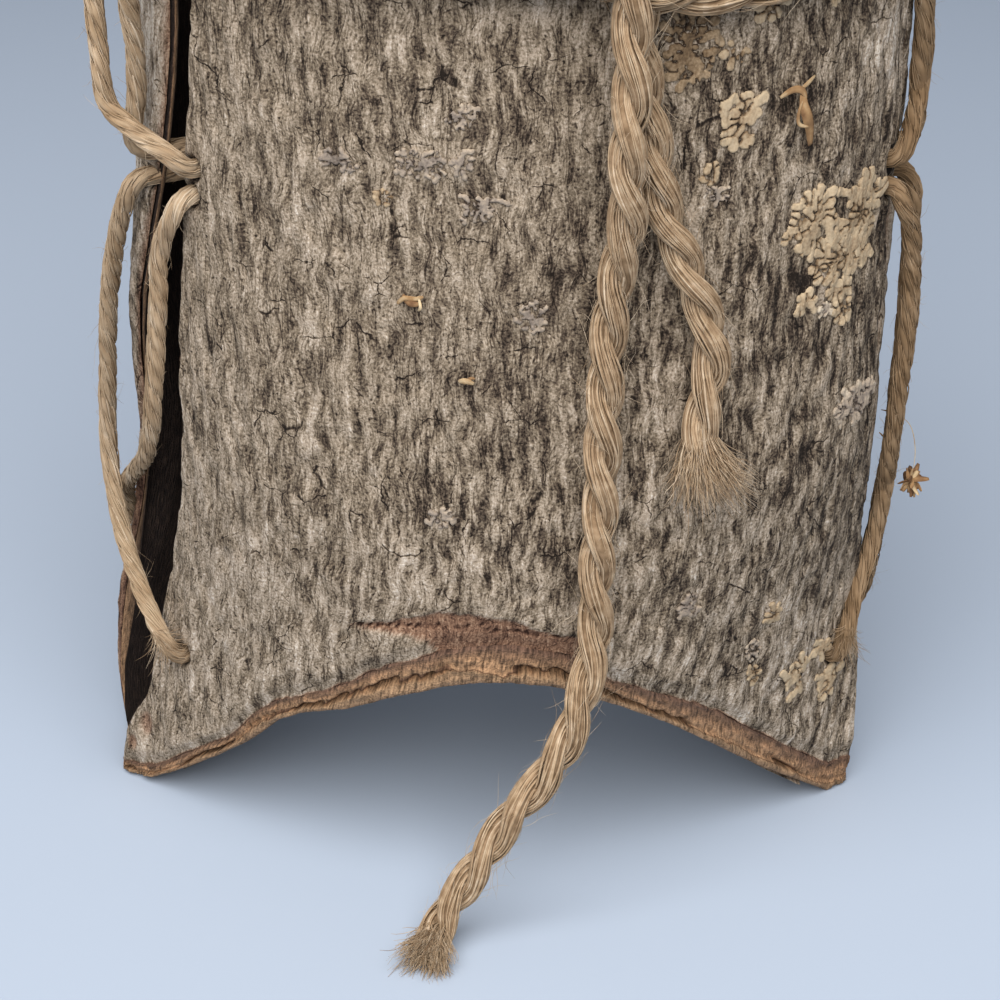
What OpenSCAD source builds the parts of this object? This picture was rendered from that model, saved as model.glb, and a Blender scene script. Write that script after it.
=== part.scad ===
// Bark berry basket. One bark sheet is folded at two curved score lines into front wall,
// arched base and rear wall, and its two open sides are laced with twine.
// Millimetres, +Z up, front wall towards -Y, origin on the floor under the middle.

/* [Bark sheet] */
// Height of the rim above the floor
basket_height = 195; // [180:1:215]
// Width across the two folded tips
fold_width = 116; // [106:1:126]
// Depth of the base from front fold to rear fold
fold_depth = 65; // [58:1:72]
// Width of the mouth, over the inner bark
mouth_width = 103; // [95:1:112]
// Depth of the mouth, over the inner bark
mouth_depth = 75; // [68:1:84]
// Rise of the arched base at its middle
arch_rise = 35; // [28:1:40]
// Half depth of each pinched tip
tip_depth = 6.5; // [5:0.5:8]
// How far the mouth stands to the right of the base
lean = 4.5; // [0:0.5:8]
// Thickness of the inner bark
inner_bark_thick = 2.6; // [2:0.1:3.2]
// Thickness of the outer bark
outer_bark_thick = 1.6; // [1:0.1:2.2]
// Bare inner bark shown above the fold, at its widest
score_width = 6; // [4:0.5:8]

/* [Lacing] */
// Diameter of the lacing twine
lacing_cord = 3; // [2.4:0.1:3.4]
// Height of the lowest pair of lacing holes
lace_low = 29; // [26:1:32]
// Height of the middle lacing holes
lace_mid = 103.5; // [100:0.5:107]
// Drop from the rim hoops to the top lacing holes
lace_drop = 12; // [9:1:16]
// Distance between the two holes of a middle pair
lace_pair = 5.4; // [5:0.1:6]

/* [Rim] */
// Height of the two wooden hoops
hoop_height = 12; // [10:0.5:13]
// Thickness of the two wooden hoops
hoop_thick = 2.8; // [2:0.2:3.6]
// Diameter of the rim lashing
lashing_cord = 2.5; // [2:0.1:2.8]
// Stitches in the rim lashing
rim_turns = 21; // [18, 21, 24]

/* [Tie cord] */
// Diameter of the tie cord
tie_cord = 5; // [4:0.5:6]
// Height of the cord round the body
belt_height = 139; // [135:1:143]

/* [Hidden] */
$fn = 48;

// Clearances
bark_bond = 0.3;
fit_gap = 0.3;
hole_play = 0.9;

// Form of the sheet: height where the pinched section has become round, sharpness of the pinch,
// and how far the arch is cut off at the feet
blend_height = 65;
pinch = 2.4;
foot_flat = 3;
angle_step = 0.9;

// Side edges: degrees by which each is pulled round, and the heights over which the pull grows
side_reach = 0.6;
left_pull_low = 23;
left_low_span = [0, 18];
left_pull_high = 11;
left_high_span = [60, 140];
right_pull = 13;
right_span = [0, 40];
rear_left_wrap = 32;
rear_left_span = [35, 125];
rear_right_wrap = 10;
rear_right_span = [0, 60];

// Grid of the sheet; levels are shares of the way from fold to rim
columns = 36;
wall_levels = [1, 0.72, 0.55, 0.42, 0.32, 0.23, 0.16, 0.1, 0.05, 0];
base_steps = 6;

// Skin of the outer bark, and the middle of a cord that lies on it
skin_out = bark_bond + outer_bark_thick;
tie_out = skin_out + fit_gap + tie_cord/2;

// Outer bark: score left at the tips, and how far its edges stand back at the sides, rim and base
tip_score = 2.6;
side_trim = 0.006;
rim_trim = 0.6;
base_reach = 0.15;
base_inset = 0.09;

// Rim
hoop_drop = 1;
lash_drop = 1.2;
hoop_top = basket_height - hoop_drop;
hoop_low = hoop_top - hoop_height;
lash_low = hoop_low - lashing_cord/2 - lash_drop;
lash_high = basket_height + fit_gap + lashing_cord/2;
lash_out = skin_out + 2*fit_gap + hoop_thick + lashing_cord/2;
lash_in = -inner_bark_thick - 2*fit_gap - hoop_thick - lashing_cord/2;
rim_start = -49;
rim_step = 360/rim_turns;

// Lacing holes, degrees in from the side edge, and the bores that are drilled for twine
inset_low = 22;
inset_high = 6;
drill_depth = 10;
lace_top = hoop_low - lace_drop;
lace_up = lace_mid + lace_pair/2;
lace_down = lace_mid - lace_pair/2;

// Middle of the lacing twine: in the wall, on the bark, inside the wall, and over the tie cord
in_wall = (skin_out - inner_bark_thick)/2;
mouth = skin_out + 0.7;
hug = skin_out + fit_gap + lacing_cord/2;
inside = -inner_bark_thick - fit_gap - lacing_cord/2;
over_tie = tie_out + tie_cord/2 + fit_gap + lacing_cord/2;

// Knot of the tie cord, and the sag of the belt towards it
knot_turn = 14;
knot_sag = 4;
sag_reach = 70;
belt_steps = 54;
knot_height = belt_height - knot_sag;
knot_ring = tie_cord*0.8;
knot_half = knot_ring*0.75;

function smooth(x) = let(k = min(1, max(0, x))) k*k*(3 - 2*k);
function mix(a, b, k) = a + (b - a)*k;
function spow(v, p) = sign(v)*pow(abs(v), p);
function unit(v) = v/norm(v);
function pull(t) = pow(max(0, 1 - t/side_reach), 2);
function shift(z) = lean*(smooth(z/blend_height) - 1);

// Where a panel begins (t = 0) and ends (t = 1), as an angle round the section.
// Panel 0 is the front wall and panel 1 the rear wall, which is turned half round.
function grow(z, span) = smooth((z - span[0])/(span[1] - span[0]));
function first_pull(panel, z) = panel == 0
    ? left_pull_low*grow(z, left_low_span) + left_pull_high*grow(z, left_high_span)
    : -rear_right_wrap*grow(z, rear_right_span);
function last_pull(panel, z) = panel == 0
    ? -right_pull*grow(z, right_span)
    : rear_left_wrap*grow(z, rear_left_span);
function turn(panel, t, z) =
    -90 + 180*t + first_pull(panel, z)*pull(t) + last_pull(panel, z)*pull(1 - t);

// Section of the sheet: a pinched lens at the fold that rounds out into an ellipse above
function plan(a, z) = let(
        k = smooth(z/blend_height),
        tip = mix(tip_depth, 0, k),
        half = mix(fold_depth, mouth_depth, k)/2 - tip)
    [mix(fold_width, mouth_width, k)/2*sin(a), -(tip + half*spow(cos(a), mix(pinch, 1, k)))];
function outward(a, z) = let(d = unit(plan(a + angle_step, z) - plan(a - angle_step, z))) [d.y, -d.x];
function skin(panel, a, z, out) = let(
        p = plan(a, z) + out*outward(a, z),
        s = panel == 0 ? 1 : -1)
    [shift(z) + s*p.x, s*p.y, z];
function ring(a, z, out) = abs(a) <= 90
    ? skin(0, a, z, out)
    : skin(1, a > 0 ? a - 180 : a + 180, z, out);
function fold_z(t) = max(0, (arch_rise + foot_flat)*pow(sin(180*t), pinch) - foot_flat);

// A point of the sheet, depth mm under its outer face; v runs from fold to rim
function wall_point(panel, t, v, depth) = let(
        s = panel == 0 ? t : 1 - t,
        z = mix(fold_z(t) + depth, basket_height, v))
    skin(panel, turn(panel, s, z), z, -depth);
function base_point(t, w, depth) = mix(wall_point(0, t, 0, depth), wall_point(1, t, 0, depth), w);

// A thin solid between two grids of points
module slab(outer, inner) {
    rows = len(outer);
    cols = len(outer[0]);
    n = rows*cols;
    function id(j, i) = j*cols + i;
    skins = [for (j = [0:rows - 2], i = [0:cols - 2])
        let(a = id(j, i), b = id(j, i + 1), c = id(j + 1, i + 1), d = id(j + 1, i))
        each [[a, b, c], [a, c, d], [n + a, n + c, n + b], [n + a, n + d, n + c]]];
    sides = [for (j = [0:rows - 2])
        let(a = id(j, 0), d = id(j + 1, 0), b = id(j, cols - 1), c = id(j + 1, cols - 1))
        each [[a, d, n + d], [a, n + d, n + a], [c, b, n + b], [c, n + b, n + c]]];
    ends = [for (i = [0:cols - 2])
        let(a = id(0, i), b = id(0, i + 1), d = id(rows - 1, i), c = id(rows - 1, i + 1))
        each [[b, a, n + a], [b, n + a, n + b], [d, c, n + c], [d, n + c, n + d]]];
    polyhedron(concat([for (r = outer) each r], [for (r = inner) each r]), concat(skins, sides, ends));
}

// A round cord along a list of points
function tangents(p) = [for (i = [0:len(p) - 1]) unit(p[min(i + 1, len(p) - 1)] - p[max(i - 1, 0)])];
function carried(n, t) = unit(n - (n*t)*t);
function normals(t, n0) = [for (i = 0, n = carried(n0, t[0]); i < len(t);
    i = i + 1, n = i < len(t) ? carried(n, t[i]) : n) n];
module cord(points, d, sides = 8, start = [0.3, 0.2, 1]) {
    t = tangents(points);
    n = normals(t, start);
    last = (len(points) - 1)*sides;
    verts = [for (i = [0:len(points) - 1], k = [0:sides - 1])
        let(w = 360*k/sides) points[i] + d/2*(cos(w)*n[i] + sin(w)*cross(t[i], n[i]))];
    body = [for (i = [0:len(points) - 2], k = [0:sides - 1])
        let(m = (k + 1) % sides, a = i*sides + k, b = i*sides + m)
        each [[a, b + sides, b], [a, a + sides, b + sides]]];
    caps = [for (k = [1:sides - 2]) each [[0, k, k + 1], [last, last + k + 1, last + k]]];
    polyhedron(verts, concat(body, caps));
}
// Gap of a cord to itself, between points at least skip steps apart
function self_gap(p, d, skip) = min([for (i = [0:len(p) - 1 - skip], j = [i + skip:len(p) - 1])
    norm(p[i] - p[j])]) - d;
// A smooth curve through points, with n steps between two of them
function bend(p0, p1, p2, p3, u) = 0.5*(2*p1 + (p2 - p0)*u + (2*p0 - 5*p1 + 4*p2 - p3)*u*u
    + (3*p1 - p0 - 3*p2 + p3)*u*u*u);
function curve(p, n) = let(m = len(p) - 1) concat([for (i = [0:m - 1], j = [0:n - 1])
    bend(p[max(i - 1, 0)], p[i], p[i + 1], p[min(i + 2, m)], j/n)], [p[m]]);

// Holes along the open sides; the side is -1 for left and 1 for right
function lace_inset(z) = mix(inset_low, inset_high, smooth(z/blend_height));
function lace_turn(side, panel, z) = let(end = (side < 0) == (panel == 0) ? 0 : 1)
    turn(panel, end, z) + (end == 0 ? 1 : -1)*lace_inset(z);
lace_heights = [lace_low, lace_down, lace_up, lace_top];
module drill(panel, a, z, d) {
    n = outward(a, z);
    translate(skin(panel, a, z, 0))
        rotate([0, 90, atan2(n.y, n.x) + 180*panel])
            cylinder(d = d, h = drill_depth, center = true);
}
module lace_holes(panel) {
    for (side = [-1, 1], z = lace_heights)
        drill(panel, lace_turn(side, panel, z), z, lacing_cord + hole_play);
}
function rim_turn(i) = rim_start + i*rim_step;
function on_front(a) = a > turn(0, 0, lash_low) && a < turn(0, 1, lash_low);
module rim_holes(panel) {
    for (i = [0:rim_turns - 1])
        let(a = rim_turn(i))
            if (on_front(a) == (panel == 0))
                drill(panel, panel == 0 ? a : a - 180, lash_low, lashing_cord + hole_play);
}

module inner_bark() {
    function sheet(depth) = concat(
        [for (v = wall_levels) [for (i = [0:columns]) wall_point(0, i/columns, v, depth)]],
        [for (w = [1:base_steps - 1]) [for (i = [0:columns]) base_point(i/columns, w/base_steps, depth)]],
        [for (k = [len(wall_levels) - 1:-1:0])
            [for (i = [0:columns]) wall_point(1, i/columns, wall_levels[k], depth)]]);
    color("#9b7048")
        difference() {
            slab(sheet(0), sheet(inner_bark_thick));
            for (panel = [0, 1]) {
                lace_holes(panel);
                rim_holes(panel);
            }
        }
}

// Outer bark of a wall, from the score line to just under the rim
function score(t) = mix(tip_score, score_width, pow(sin(180*t), 2));
module outer_wall(panel) {
    function at(t, v, out) = let(
            s = panel == 0 ? t : 1 - t,
            z = mix(fold_z(t) + score(t), basket_height - rim_trim, v))
        skin(panel, turn(panel, s, z), z, out);
    function plate(out) = [for (v = wall_levels)
        [for (i = [0:columns]) at(mix(side_trim, 1 - side_trim, i/columns), v, out)]];
    near = plate(skin_out);
    far = plate(bark_bond);
    difference() {
        slab(panel == 0 ? near : far, panel == 0 ? far : near);
        lace_holes(panel);
        rim_holes(panel);
    }
}
module outer_bark_front() {
    color("#a59b8e") outer_wall(0);
}
module outer_bark_rear() {
    color("#a59b8e") outer_wall(1);
}

// Outer bark left under the base, between the two score lines and clear of the floor
module outer_bark_base() {
    function share(inset, k) = mix(inset, 1 - inset, k);
    function at(i, w, depth) =
        base_point(share(base_reach, i/columns), share(base_inset, w/base_steps), depth);
    function plate(depth) = [for (w = [0:base_steps]) [for (i = [0:columns]) at(i, w, depth)]];
    color("#8f8578") slab(plate(-skin_out), plate(-bark_bond));
}

// A split-wood hoop with a scarf where its ends lie over each other
module hoop(inside, outside, scarf) {
    mid = ring(scarf, hoop_low, (inside + outside)/2);
    difference() {
        translate([0, 0, hoop_low])
            linear_extrude(hoop_height)
                difference() {
                    polygon([for (a = [-180:5:175]) let(p = ring(a, hoop_low, outside)) [p.x, p.y]]);
                    polygon([for (a = [-180:5:175]) let(p = ring(a, hoop_low, inside)) [p.x, p.y]]);
                }
        translate([mid.x, mid.y, hoop_low - 1])
            rotate([0, 0, 12])
                translate([-hoop_thick*4, -fit_gap/2, 0])
                    cube([hoop_thick*8, fit_gap, hoop_height + 2]);
    }
}
module rim_hoop_inner() {
    color("#b9975f") hoop(-inner_bark_thick - fit_gap - hoop_thick, -inner_bark_thick - fit_gap, 172);
}
module rim_hoop_outer() {
    color("#b9975f") hoop(skin_out + fit_gap, skin_out + fit_gap + hoop_thick, -172);
}

// Each stitch rises slanting outside, goes over the rim, down inside and out through the next hole
function stitch(a, b) = [
    [a, lash_low, skin_out + 1],
    [mix(a, b, 0.07), hoop_low - 1, lash_out - 0.3],
    [mix(a, b, 0.16), hoop_low + 1.4, lash_out + 0.1],
    [mix(a, b, 0.5), (hoop_low + hoop_top)/2, lash_out + 0.3],
    [mix(a, b, 0.9), hoop_top + 0.2, lash_out + 0.2],
    [b, lash_high + 0.2, mix(lash_out, lash_in, 0.14)],
    [b, lash_high + 0.3, mix(lash_out, lash_in, 0.5)],
    [b, lash_high + 0.2, mix(lash_out, lash_in, 0.86)],
    [b, hoop_top + 0.2, lash_in - 0.2],
    [b, (hoop_low + hoop_top)/2, lash_in - 0.2],
    [b, hoop_low - 1, lash_in + 0.1],
    [b, lash_low, -inner_bark_thick - 2],
    [b, lash_low, 0]];
function wrapped(a) = a > 180 ? a - 360 : a;
module rim_lashing() {
    first = [[rim_start, hoop_low + 3, lash_in - 0.2], [rim_start, hoop_low - 1, lash_in + 0.1],
        [rim_start, lash_low, -inner_bark_thick - 2], [rim_start, lash_low, 0]];
    around = [for (i = [0:rim_turns - 2]) each stitch(rim_turn(i), rim_turn(i + 1))];
    tail = stitch(rim_turn(rim_turns - 1), rim_turn(rim_turns) - 6);
    route = concat(first, around, [for (i = [0:8]) tail[i]]);
    points = [for (q = route) ring(wrapped(q[0]), q[1], q[2])];
    echo(rim_lashing_least_gap = self_gap(points, lashing_cord, 7));
    color("#a8875c") cord(points, lashing_cord, 6);
}

// Lacing route: share of the way from front hole to rear hole, height, distance out from the inner bark.
// It goes down across the seam, through the wall and back, and up again under its own first leg.
function low(k) = mix(lace_low, lace_down, k);
function high(k) = mix(lace_up, lace_top, k);
function through(u, z, rise) = [[u, z + 0.3*rise, mouth], [u, z, in_wall], [u, z - 0.3*rise, inside]];
function reversed(list) = [for (i = [len(list) - 1:-1:0]) list[i]];
lace_route = concat(
    [[0, lace_top, inside - 6.6], [0, lace_top, inside - 2.6], [0, lace_top, in_wall],
        [0, lace_top - 0.3, mouth], [0.06, lace_top - 3, hug + 1.1], [0.14, high(0.86), hug + 2.5],
        [0.3, high(0.72), hug + 4.9],
        [0.45, belt_height, over_tie + 1.4], [0.6, high(0.39), hug + 5.3], [0.8, high(0.26), hug + 2.7],
        [0.94, high(0.14), hug + 1.1], [1, lace_up + 2.6, hug + 0.7]],
    through(1, lace_up, 1),
    [[1, lace_mid, inside - 1.4]],
    reversed(through(1, lace_down, -1)),
    [[1.06, lace_down - 3, hug + 1.1], [1.25, low(0.88), hug + 2.5], [1.35, low(0.71), hug + 4.7],
        [1.2, low(0.52), hug + 5.7], [0.95, low(0.34), hug + 6.1], [0.65, low(0.2), hug + 5.7],
        [0.3, low(0.1), hug + 4.9], [0.05, lace_low + 3.4, hug + 1.9]],
    through(0, lace_low, 1),
    [[0.5, lace_low - 1, inside - 1.6]],
    reversed(through(1, lace_low, 1)),
    [[1, lace_low + 3, hug + 0.9], [1, low(0.14), hug + 1.1], [0.95, low(0.26), hug + 1.2],
        [0.8, low(0.4), hug + 1.7], [0.6, low(0.57), hug + 1.9], [0.45, low(0.77), hug + 1.7],
        [0.2, low(0.91), hug + 1.3], [0.02, lace_down - 2.8, hug + 0.7]],
    through(0, lace_down, -1),
    [[0, lace_mid, inside - 1.4]],
    reversed(through(0, lace_up, 1)),
    [[0.08, lace_up + 2.4, hug + 1.3], [0.5, lace_up + 4.6, hug + 3.3], [0.95, high(0.12), hug + 5.1],
        [1.15, high(0.22), hug + 6.1], [1.2, high(0.34), hug + 6.7], [1.15, belt_height, over_tie + 1.8],
        [1.05, high(0.72), hug + 5.7], [1, high(0.87), hug + 3.1], [1, lace_top - 3, hug + 1.1],
        [1, lace_top - 0.3, mouth], [1, lace_top, in_wall], [1, lace_top, inside - 2.6],
        [1, lace_top, inside - 6.6]]);
function lace_point(side, u, z, out) = mix(skin(0, lace_turn(side, 0, z), z, out),
    skin(1, lace_turn(side, 1, z), z, out), u);
module lacing(side) {
    points = curve([for (q = lace_route) lace_point(side, q[0], q[1], q[2])], 3);
    echo(lacing_least_gap = self_gap(points, lacing_cord, 10));
    cord(points, lacing_cord);
}
module left_lacing() {
    color("#b4925f") lacing(-1);
}
module right_lacing() {
    color("#b4925f") lacing(1);
}

// Each end of a lacing is wrapped once round itself inside the wall
module lacing_knots(side) {
    for (panel = [0, 1]) {
        a = lace_turn(side, panel, lace_top);
        n = outward(a, lace_top);
        translate(skin(panel, a, lace_top, -inner_bark_thick - 2*fit_gap - lacing_cord/2))
            rotate([0, 90, atan2(n.y, n.x) + 180*panel])
                rotate_extrude()
                    translate([lacing_cord + fit_gap, 0])
                        circle(d = lacing_cord);
    }
}
module left_lacing_knots() {
    color("#a8875c") lacing_knots(-1);
}
module right_lacing_knots() {
    color("#a8875c") lacing_knots(1);
}

// The tie cord goes round the body under the lacing and is knotted at the front
degrees_per_mm = 1.2;
belt_open = (knot_half + knot_ring + tie_cord/2 + fit_gap)*degrees_per_mm;
function belt_z(away) = belt_height - knot_sag*smooth(1 - away/sag_reach);
module tie_cord_belt() {
    route = [for (i = [0:belt_steps])
        let(away = mix(belt_open, 360 - belt_open, i/belt_steps))
        ring(wrapped(knot_turn + away), belt_z(min(away, 360 - away)), tie_out)];
    color("#b9986a") cord(route, tie_cord);
}
module tie_cord_knot() {
    n = outward(knot_turn, knot_height);
    color("#b9986a")
        translate(skin(0, knot_turn, knot_height, tie_out))
            rotate([0, 90, atan2(n.y, n.x)])
                for (s = [-1, 1])
                    translate([0, s*knot_half, 0])
                        rotate_extrude()
                            translate([knot_ring, 0])
                                circle(d = tie_cord);
}

// Tails of the tie cord: angle round the section, height, distance out; then plain points off the wall
tail_top = knot_height - knot_ring - tie_cord/2 - fit_gap;
long_tail_wall = [[11.5, tail_top, 9.4], [12.5, 121, 9.6], [12.8, 114, 9.2], [13.4, 106, 7.6],
    [12.8, 99, 5.6], [12.1, 91, tie_out], [11.7, 81, tie_out], [11.7, 72, tie_out], [11.7, 62, tie_out],
    [11.7, 54, tie_out]];
long_tail_air = [[11.1, -40.5, 45], [9.7, -42.5, 38], [7.5, -44, 31], [4, -45, 25], [0, -46, 20],
    [-3, -47, 15], [-6.4, -48, 9.5], [-9, -49, 5.6], [-11.2, -50.5, 3]];
short_tail_wall = [[19, tail_top, tie_out], [17.8, 120, tie_out], [18.4, 111, tie_out], [20.8, 103, tie_out],
    [24.6, 94, tie_out], [27, 87, tie_out], [26.4, 80, tie_out], [26, 74, tie_out], [27, 68, tie_out]];
module tie_cord_long_tail() {
    color("#c3a57d")
        cord(curve(concat([for (q = long_tail_wall) ring(q[0], q[1], q[2])], long_tail_air), 2), tie_cord);
}
module tie_cord_short_tail() {
    color("#c3a57d")
        cord(curve([for (q = short_tail_wall) ring(q[0], q[1], q[2])], 2), tie_cord);
}

inner_bark();
outer_bark_front();
outer_bark_rear();
outer_bark_base();
rim_hoop_inner();
rim_hoop_outer();
rim_lashing();
left_lacing();
right_lacing();
left_lacing_knots();
right_lacing_knots();
tie_cord_belt();
tie_cord_knot();
tie_cord_long_tail();
tie_cord_short_tail();
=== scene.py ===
# %% [markdown]
# # A folded-bark berry basket
# One strip of bark is scored along two curved lines and folded up into a front wall, an arched base and a
# rear wall. Twine laces the open sides, split-wood hoops stiffen the rim, and a two-strand cord is tied
# round the body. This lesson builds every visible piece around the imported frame, in metres.

# %% Load the frame
import math

import bmesh
import bpy
import numpy as np
from mathutils import Matrix, Vector


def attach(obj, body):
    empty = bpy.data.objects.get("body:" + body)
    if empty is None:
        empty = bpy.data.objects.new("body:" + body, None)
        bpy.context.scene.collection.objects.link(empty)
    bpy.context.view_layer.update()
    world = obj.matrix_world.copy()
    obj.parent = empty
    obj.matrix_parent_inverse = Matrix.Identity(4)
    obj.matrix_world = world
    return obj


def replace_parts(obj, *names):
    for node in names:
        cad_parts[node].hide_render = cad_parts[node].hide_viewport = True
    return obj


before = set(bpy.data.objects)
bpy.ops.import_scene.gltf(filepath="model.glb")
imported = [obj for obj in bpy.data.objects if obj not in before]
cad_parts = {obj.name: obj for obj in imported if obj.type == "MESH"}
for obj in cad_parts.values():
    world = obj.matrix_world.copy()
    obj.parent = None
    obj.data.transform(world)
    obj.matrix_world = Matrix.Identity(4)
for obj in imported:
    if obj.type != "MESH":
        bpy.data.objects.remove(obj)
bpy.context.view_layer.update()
MM = 0.001
print("nodes:", sorted(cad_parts))

# %% [markdown]
# ## Camera
# The photograph looks down 25 degrees at the front wall from about a third of a metre, with the camera
# turned by just under one degree. A camera can be placed by hand or by a matrix; a matrix is chosen,
# because its three columns are the camera's right, up and backward directions and can be read directly.

# %% Camera
CAMERA_PLACE = (-2.25, -324.6, 198.5)
CAMERA_PITCH = 25.0
CAMERA_ROLL = 0.9
CAMERA_ANGLE = 24.0

scene = bpy.context.scene
pitch, roll = math.radians(CAMERA_PITCH), math.radians(CAMERA_ROLL)
look = np.array([0, math.cos(pitch), -math.sin(pitch)])
level_right = np.array([1.0, 0, 0])
level_up = np.array([0, math.sin(pitch), math.cos(pitch)])
right = level_right*math.cos(roll) + level_up*math.sin(roll)
up = level_up*math.cos(roll) - level_right*math.sin(roll)
camera = bpy.data.objects.new("camera", bpy.data.cameras.new("camera"))
scene.collection.objects.link(camera)
columns = [list(right), list(up), list(-look), [c*MM for c in CAMERA_PLACE]]
camera.matrix_world = Matrix([[columns[c][r] for c in range(4)] for r in range(3)] + [[0, 0, 0, 1]])
camera.data.sensor_fit = "HORIZONTAL"
camera.data.angle = math.radians(CAMERA_ANGLE)
camera.data.clip_start = 0.01
scene.camera = camera
print("camera at", CAMERA_PLACE, "mm")

# %% [markdown]
# ## Small tools
# Colours are written as sRGB hex, the way they are read off a picture, and one function turns them to the
# linear values that a shader needs. A second function adds a node, sets its values and joins its sockets.
# Noise is worked out on a lattice of hashed numbers, so that every run gives the same bark.

# %% Colour and node tools
def linear(hexa):
    parts = [int(hexa[i:i + 2], 16)/255 for i in (1, 3, 5)]
    return tuple(c/12.92 if c <= 0.04045 else ((c + 0.055)/1.055)**2.4 for c in parts) + (1.0,)


def node(tree, kind, inputs=None, stops=None, **settings):
    made = tree.nodes.new("ShaderNode" + kind)
    for key, value in settings.items():
        setattr(made, key, value)
    for key, value in (inputs or {}).items():
        if isinstance(value, bpy.types.NodeSocket):
            tree.links.new(value, made.inputs[key])
        else:
            made.inputs[key].default_value = value
    for i, (place, colour) in enumerate(stops or []):
        ends = made.color_ramp.elements
        stop = ends[i] if i < 2 else ends.new(place)
        stop.position = place
        stop.color = linear(colour)
    return made


def add(tree, *values):
    total = values[0]
    for value in values[1:]:
        total = node(tree, "Math", {0: total, 1: value}, operation="ADD").outputs[0]
    return total


def new_material(name):
    material = bpy.data.materials.new(name)
    material.use_nodes = True
    material.node_tree.nodes.clear()
    return material, material.node_tree


def surface(material, sockets):
    """Gives a material its shader and its output"""
    tree = material.node_tree
    shader = node(tree, "BsdfPrincipled", sockets)
    node(tree, "OutputMaterial", {"Surface": shader.outputs[0]})
    print(material.name, "has", len(tree.nodes), "nodes")


# %% Numbers and noise
def smooth(x):
    k = np.clip(x, 0, 1)
    return k*k*(3 - 2*k)


def mix(a, b, k):
    return a + (b - a)*k


def step(low, high, x):
    return smooth((x - low)/(high - low))


def lattice(ix, iy, seed):
    h = (ix.astype(np.int64)*374761393 + iy.astype(np.int64)*668265263 + seed*974634777) & 0xffffffff
    h = ((h ^ (h >> 13))*1274126177) & 0xffffffff
    return ((h ^ (h >> 16)) & 0xffff)/65535.0


def noise(x, y, seed):
    x, y = np.broadcast_arrays(np.asarray(x, float), np.asarray(y, float))
    ix, iy = np.floor(x), np.floor(y)
    fx, fy = smooth(x - ix), smooth(y - iy)
    near = mix(lattice(ix, iy, seed), lattice(ix + 1, iy, seed), fx)
    far = mix(lattice(ix, iy + 1, seed), lattice(ix + 1, iy + 1, seed), fx)
    return mix(near, far, fy)


def fractal(x, y, seed, octaves=4):
    total = sum(noise(x*2**i, y*2**i, seed + i)/2**i for i in range(octaves))
    return total/sum(1/2**i for i in range(octaves))


# %% [markdown]
# ## Form of the sheet
# The bark sheet's section is a pinched lens at the folds and rounds out into an ellipse above them. The
# frame was built from these same formulas, so a piece that is made with them lies where its solid lies.
# All sizes here are in millimetres, and angles run round the section from the middle of the front wall.

# %% Sheet sizes
HEIGHT = 195.0
FOLD_WIDTH, FOLD_DEPTH = 116.0, 65.0
MOUTH_WIDTH, MOUTH_DEPTH = 103.0, 75.0
ARCH_RISE, TIP_DEPTH, FOOT_FLAT = 35.0, 6.5, 3.0
LEAN, BLEND_HEIGHT, PINCH = 4.5, 65.0, 2.4
INNER_THICK, OUTER_THICK, BOND, FIT = 2.6, 1.6, 0.3, 0.3
SKIN_OUT = BOND + OUTER_THICK
SCORE_WIDTH, TIP_SCORE, SIDE_REACH = 6.0, 2.6, 0.6
STRIP_WIDTH = 118.0
HOOP_TOP, HOOP_HEIGHT = HEIGHT - 1, 12.0
HOOP_LOW = HOOP_TOP - HOOP_HEIGHT
FRONT, REAR = 0, 1
# degrees by which each side edge is pulled in or wraps round, and the heights between which that grows
LEFT_PULL_LOW, LEFT_LOW_SPAN = 23, (0, 18)
LEFT_PULL_HIGH, LEFT_HIGH_SPAN = 11, (60, 140)
FOOT_TRIM, FOOT_TRIM_SPAN, EDGE_IN = 8, (3, 14), 1.6
RIGHT_PULL, RIGHT_SPAN = 13, (0, 40)
REAR_RIGHT_WRAP, REAR_RIGHT_SPAN = 10, (0, 60)
REAR_LEFT_WRAP, REAR_LEFT_SPAN = 32, (35, 125)
SEAM_GAP, SEAM_SPAN = 5.0, (20, 60)
# how far back the tips of the feet lie
FOOT_BACK = 4.2
# the rear wall's left end springs open by these distances at these heights, and between these angles
SPRING_AT = [0, 10, 20, 30, 45, 60, 72, 82, 92, 102, 125]
SPRING_OUT = [0.5, 1.7, 2.5, 3.0, 3.1, 3.4, 3.6, 3.4, 2.2, 1.2, 0]
SPRING_SPAN = (45, 90)
# the wall's slope is taken over this many degrees to each side
SLOPE_STEP = 0.9


# %% Sheet formulas
def grow(z, span):
    return step(*span, z)


def pull(t):
    return np.maximum(0, 1 - t/SIDE_REACH)**2


def turn(panel, t, z):
    """Angle on a panel at the share t of its width and height z, with its side edges pulled in"""
    if panel == FRONT:
        first = LEFT_PULL_LOW*grow(z, LEFT_LOW_SPAN) + LEFT_PULL_HIGH*grow(z, LEFT_HIGH_SPAN) + EDGE_IN
        first = first + FOOT_TRIM*(1 - grow(z, FOOT_TRIM_SPAN))
        last = -RIGHT_PULL*grow(z, RIGHT_SPAN)
    else:
        first = -REAR_RIGHT_WRAP*grow(z, REAR_RIGHT_SPAN)
        last = REAR_LEFT_WRAP*grow(z, REAR_LEFT_SPAN) - SEAM_GAP*grow(z, SEAM_SPAN)
    return -90 + 180*t + first*pull(t) + last*pull(1 - t)


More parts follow.
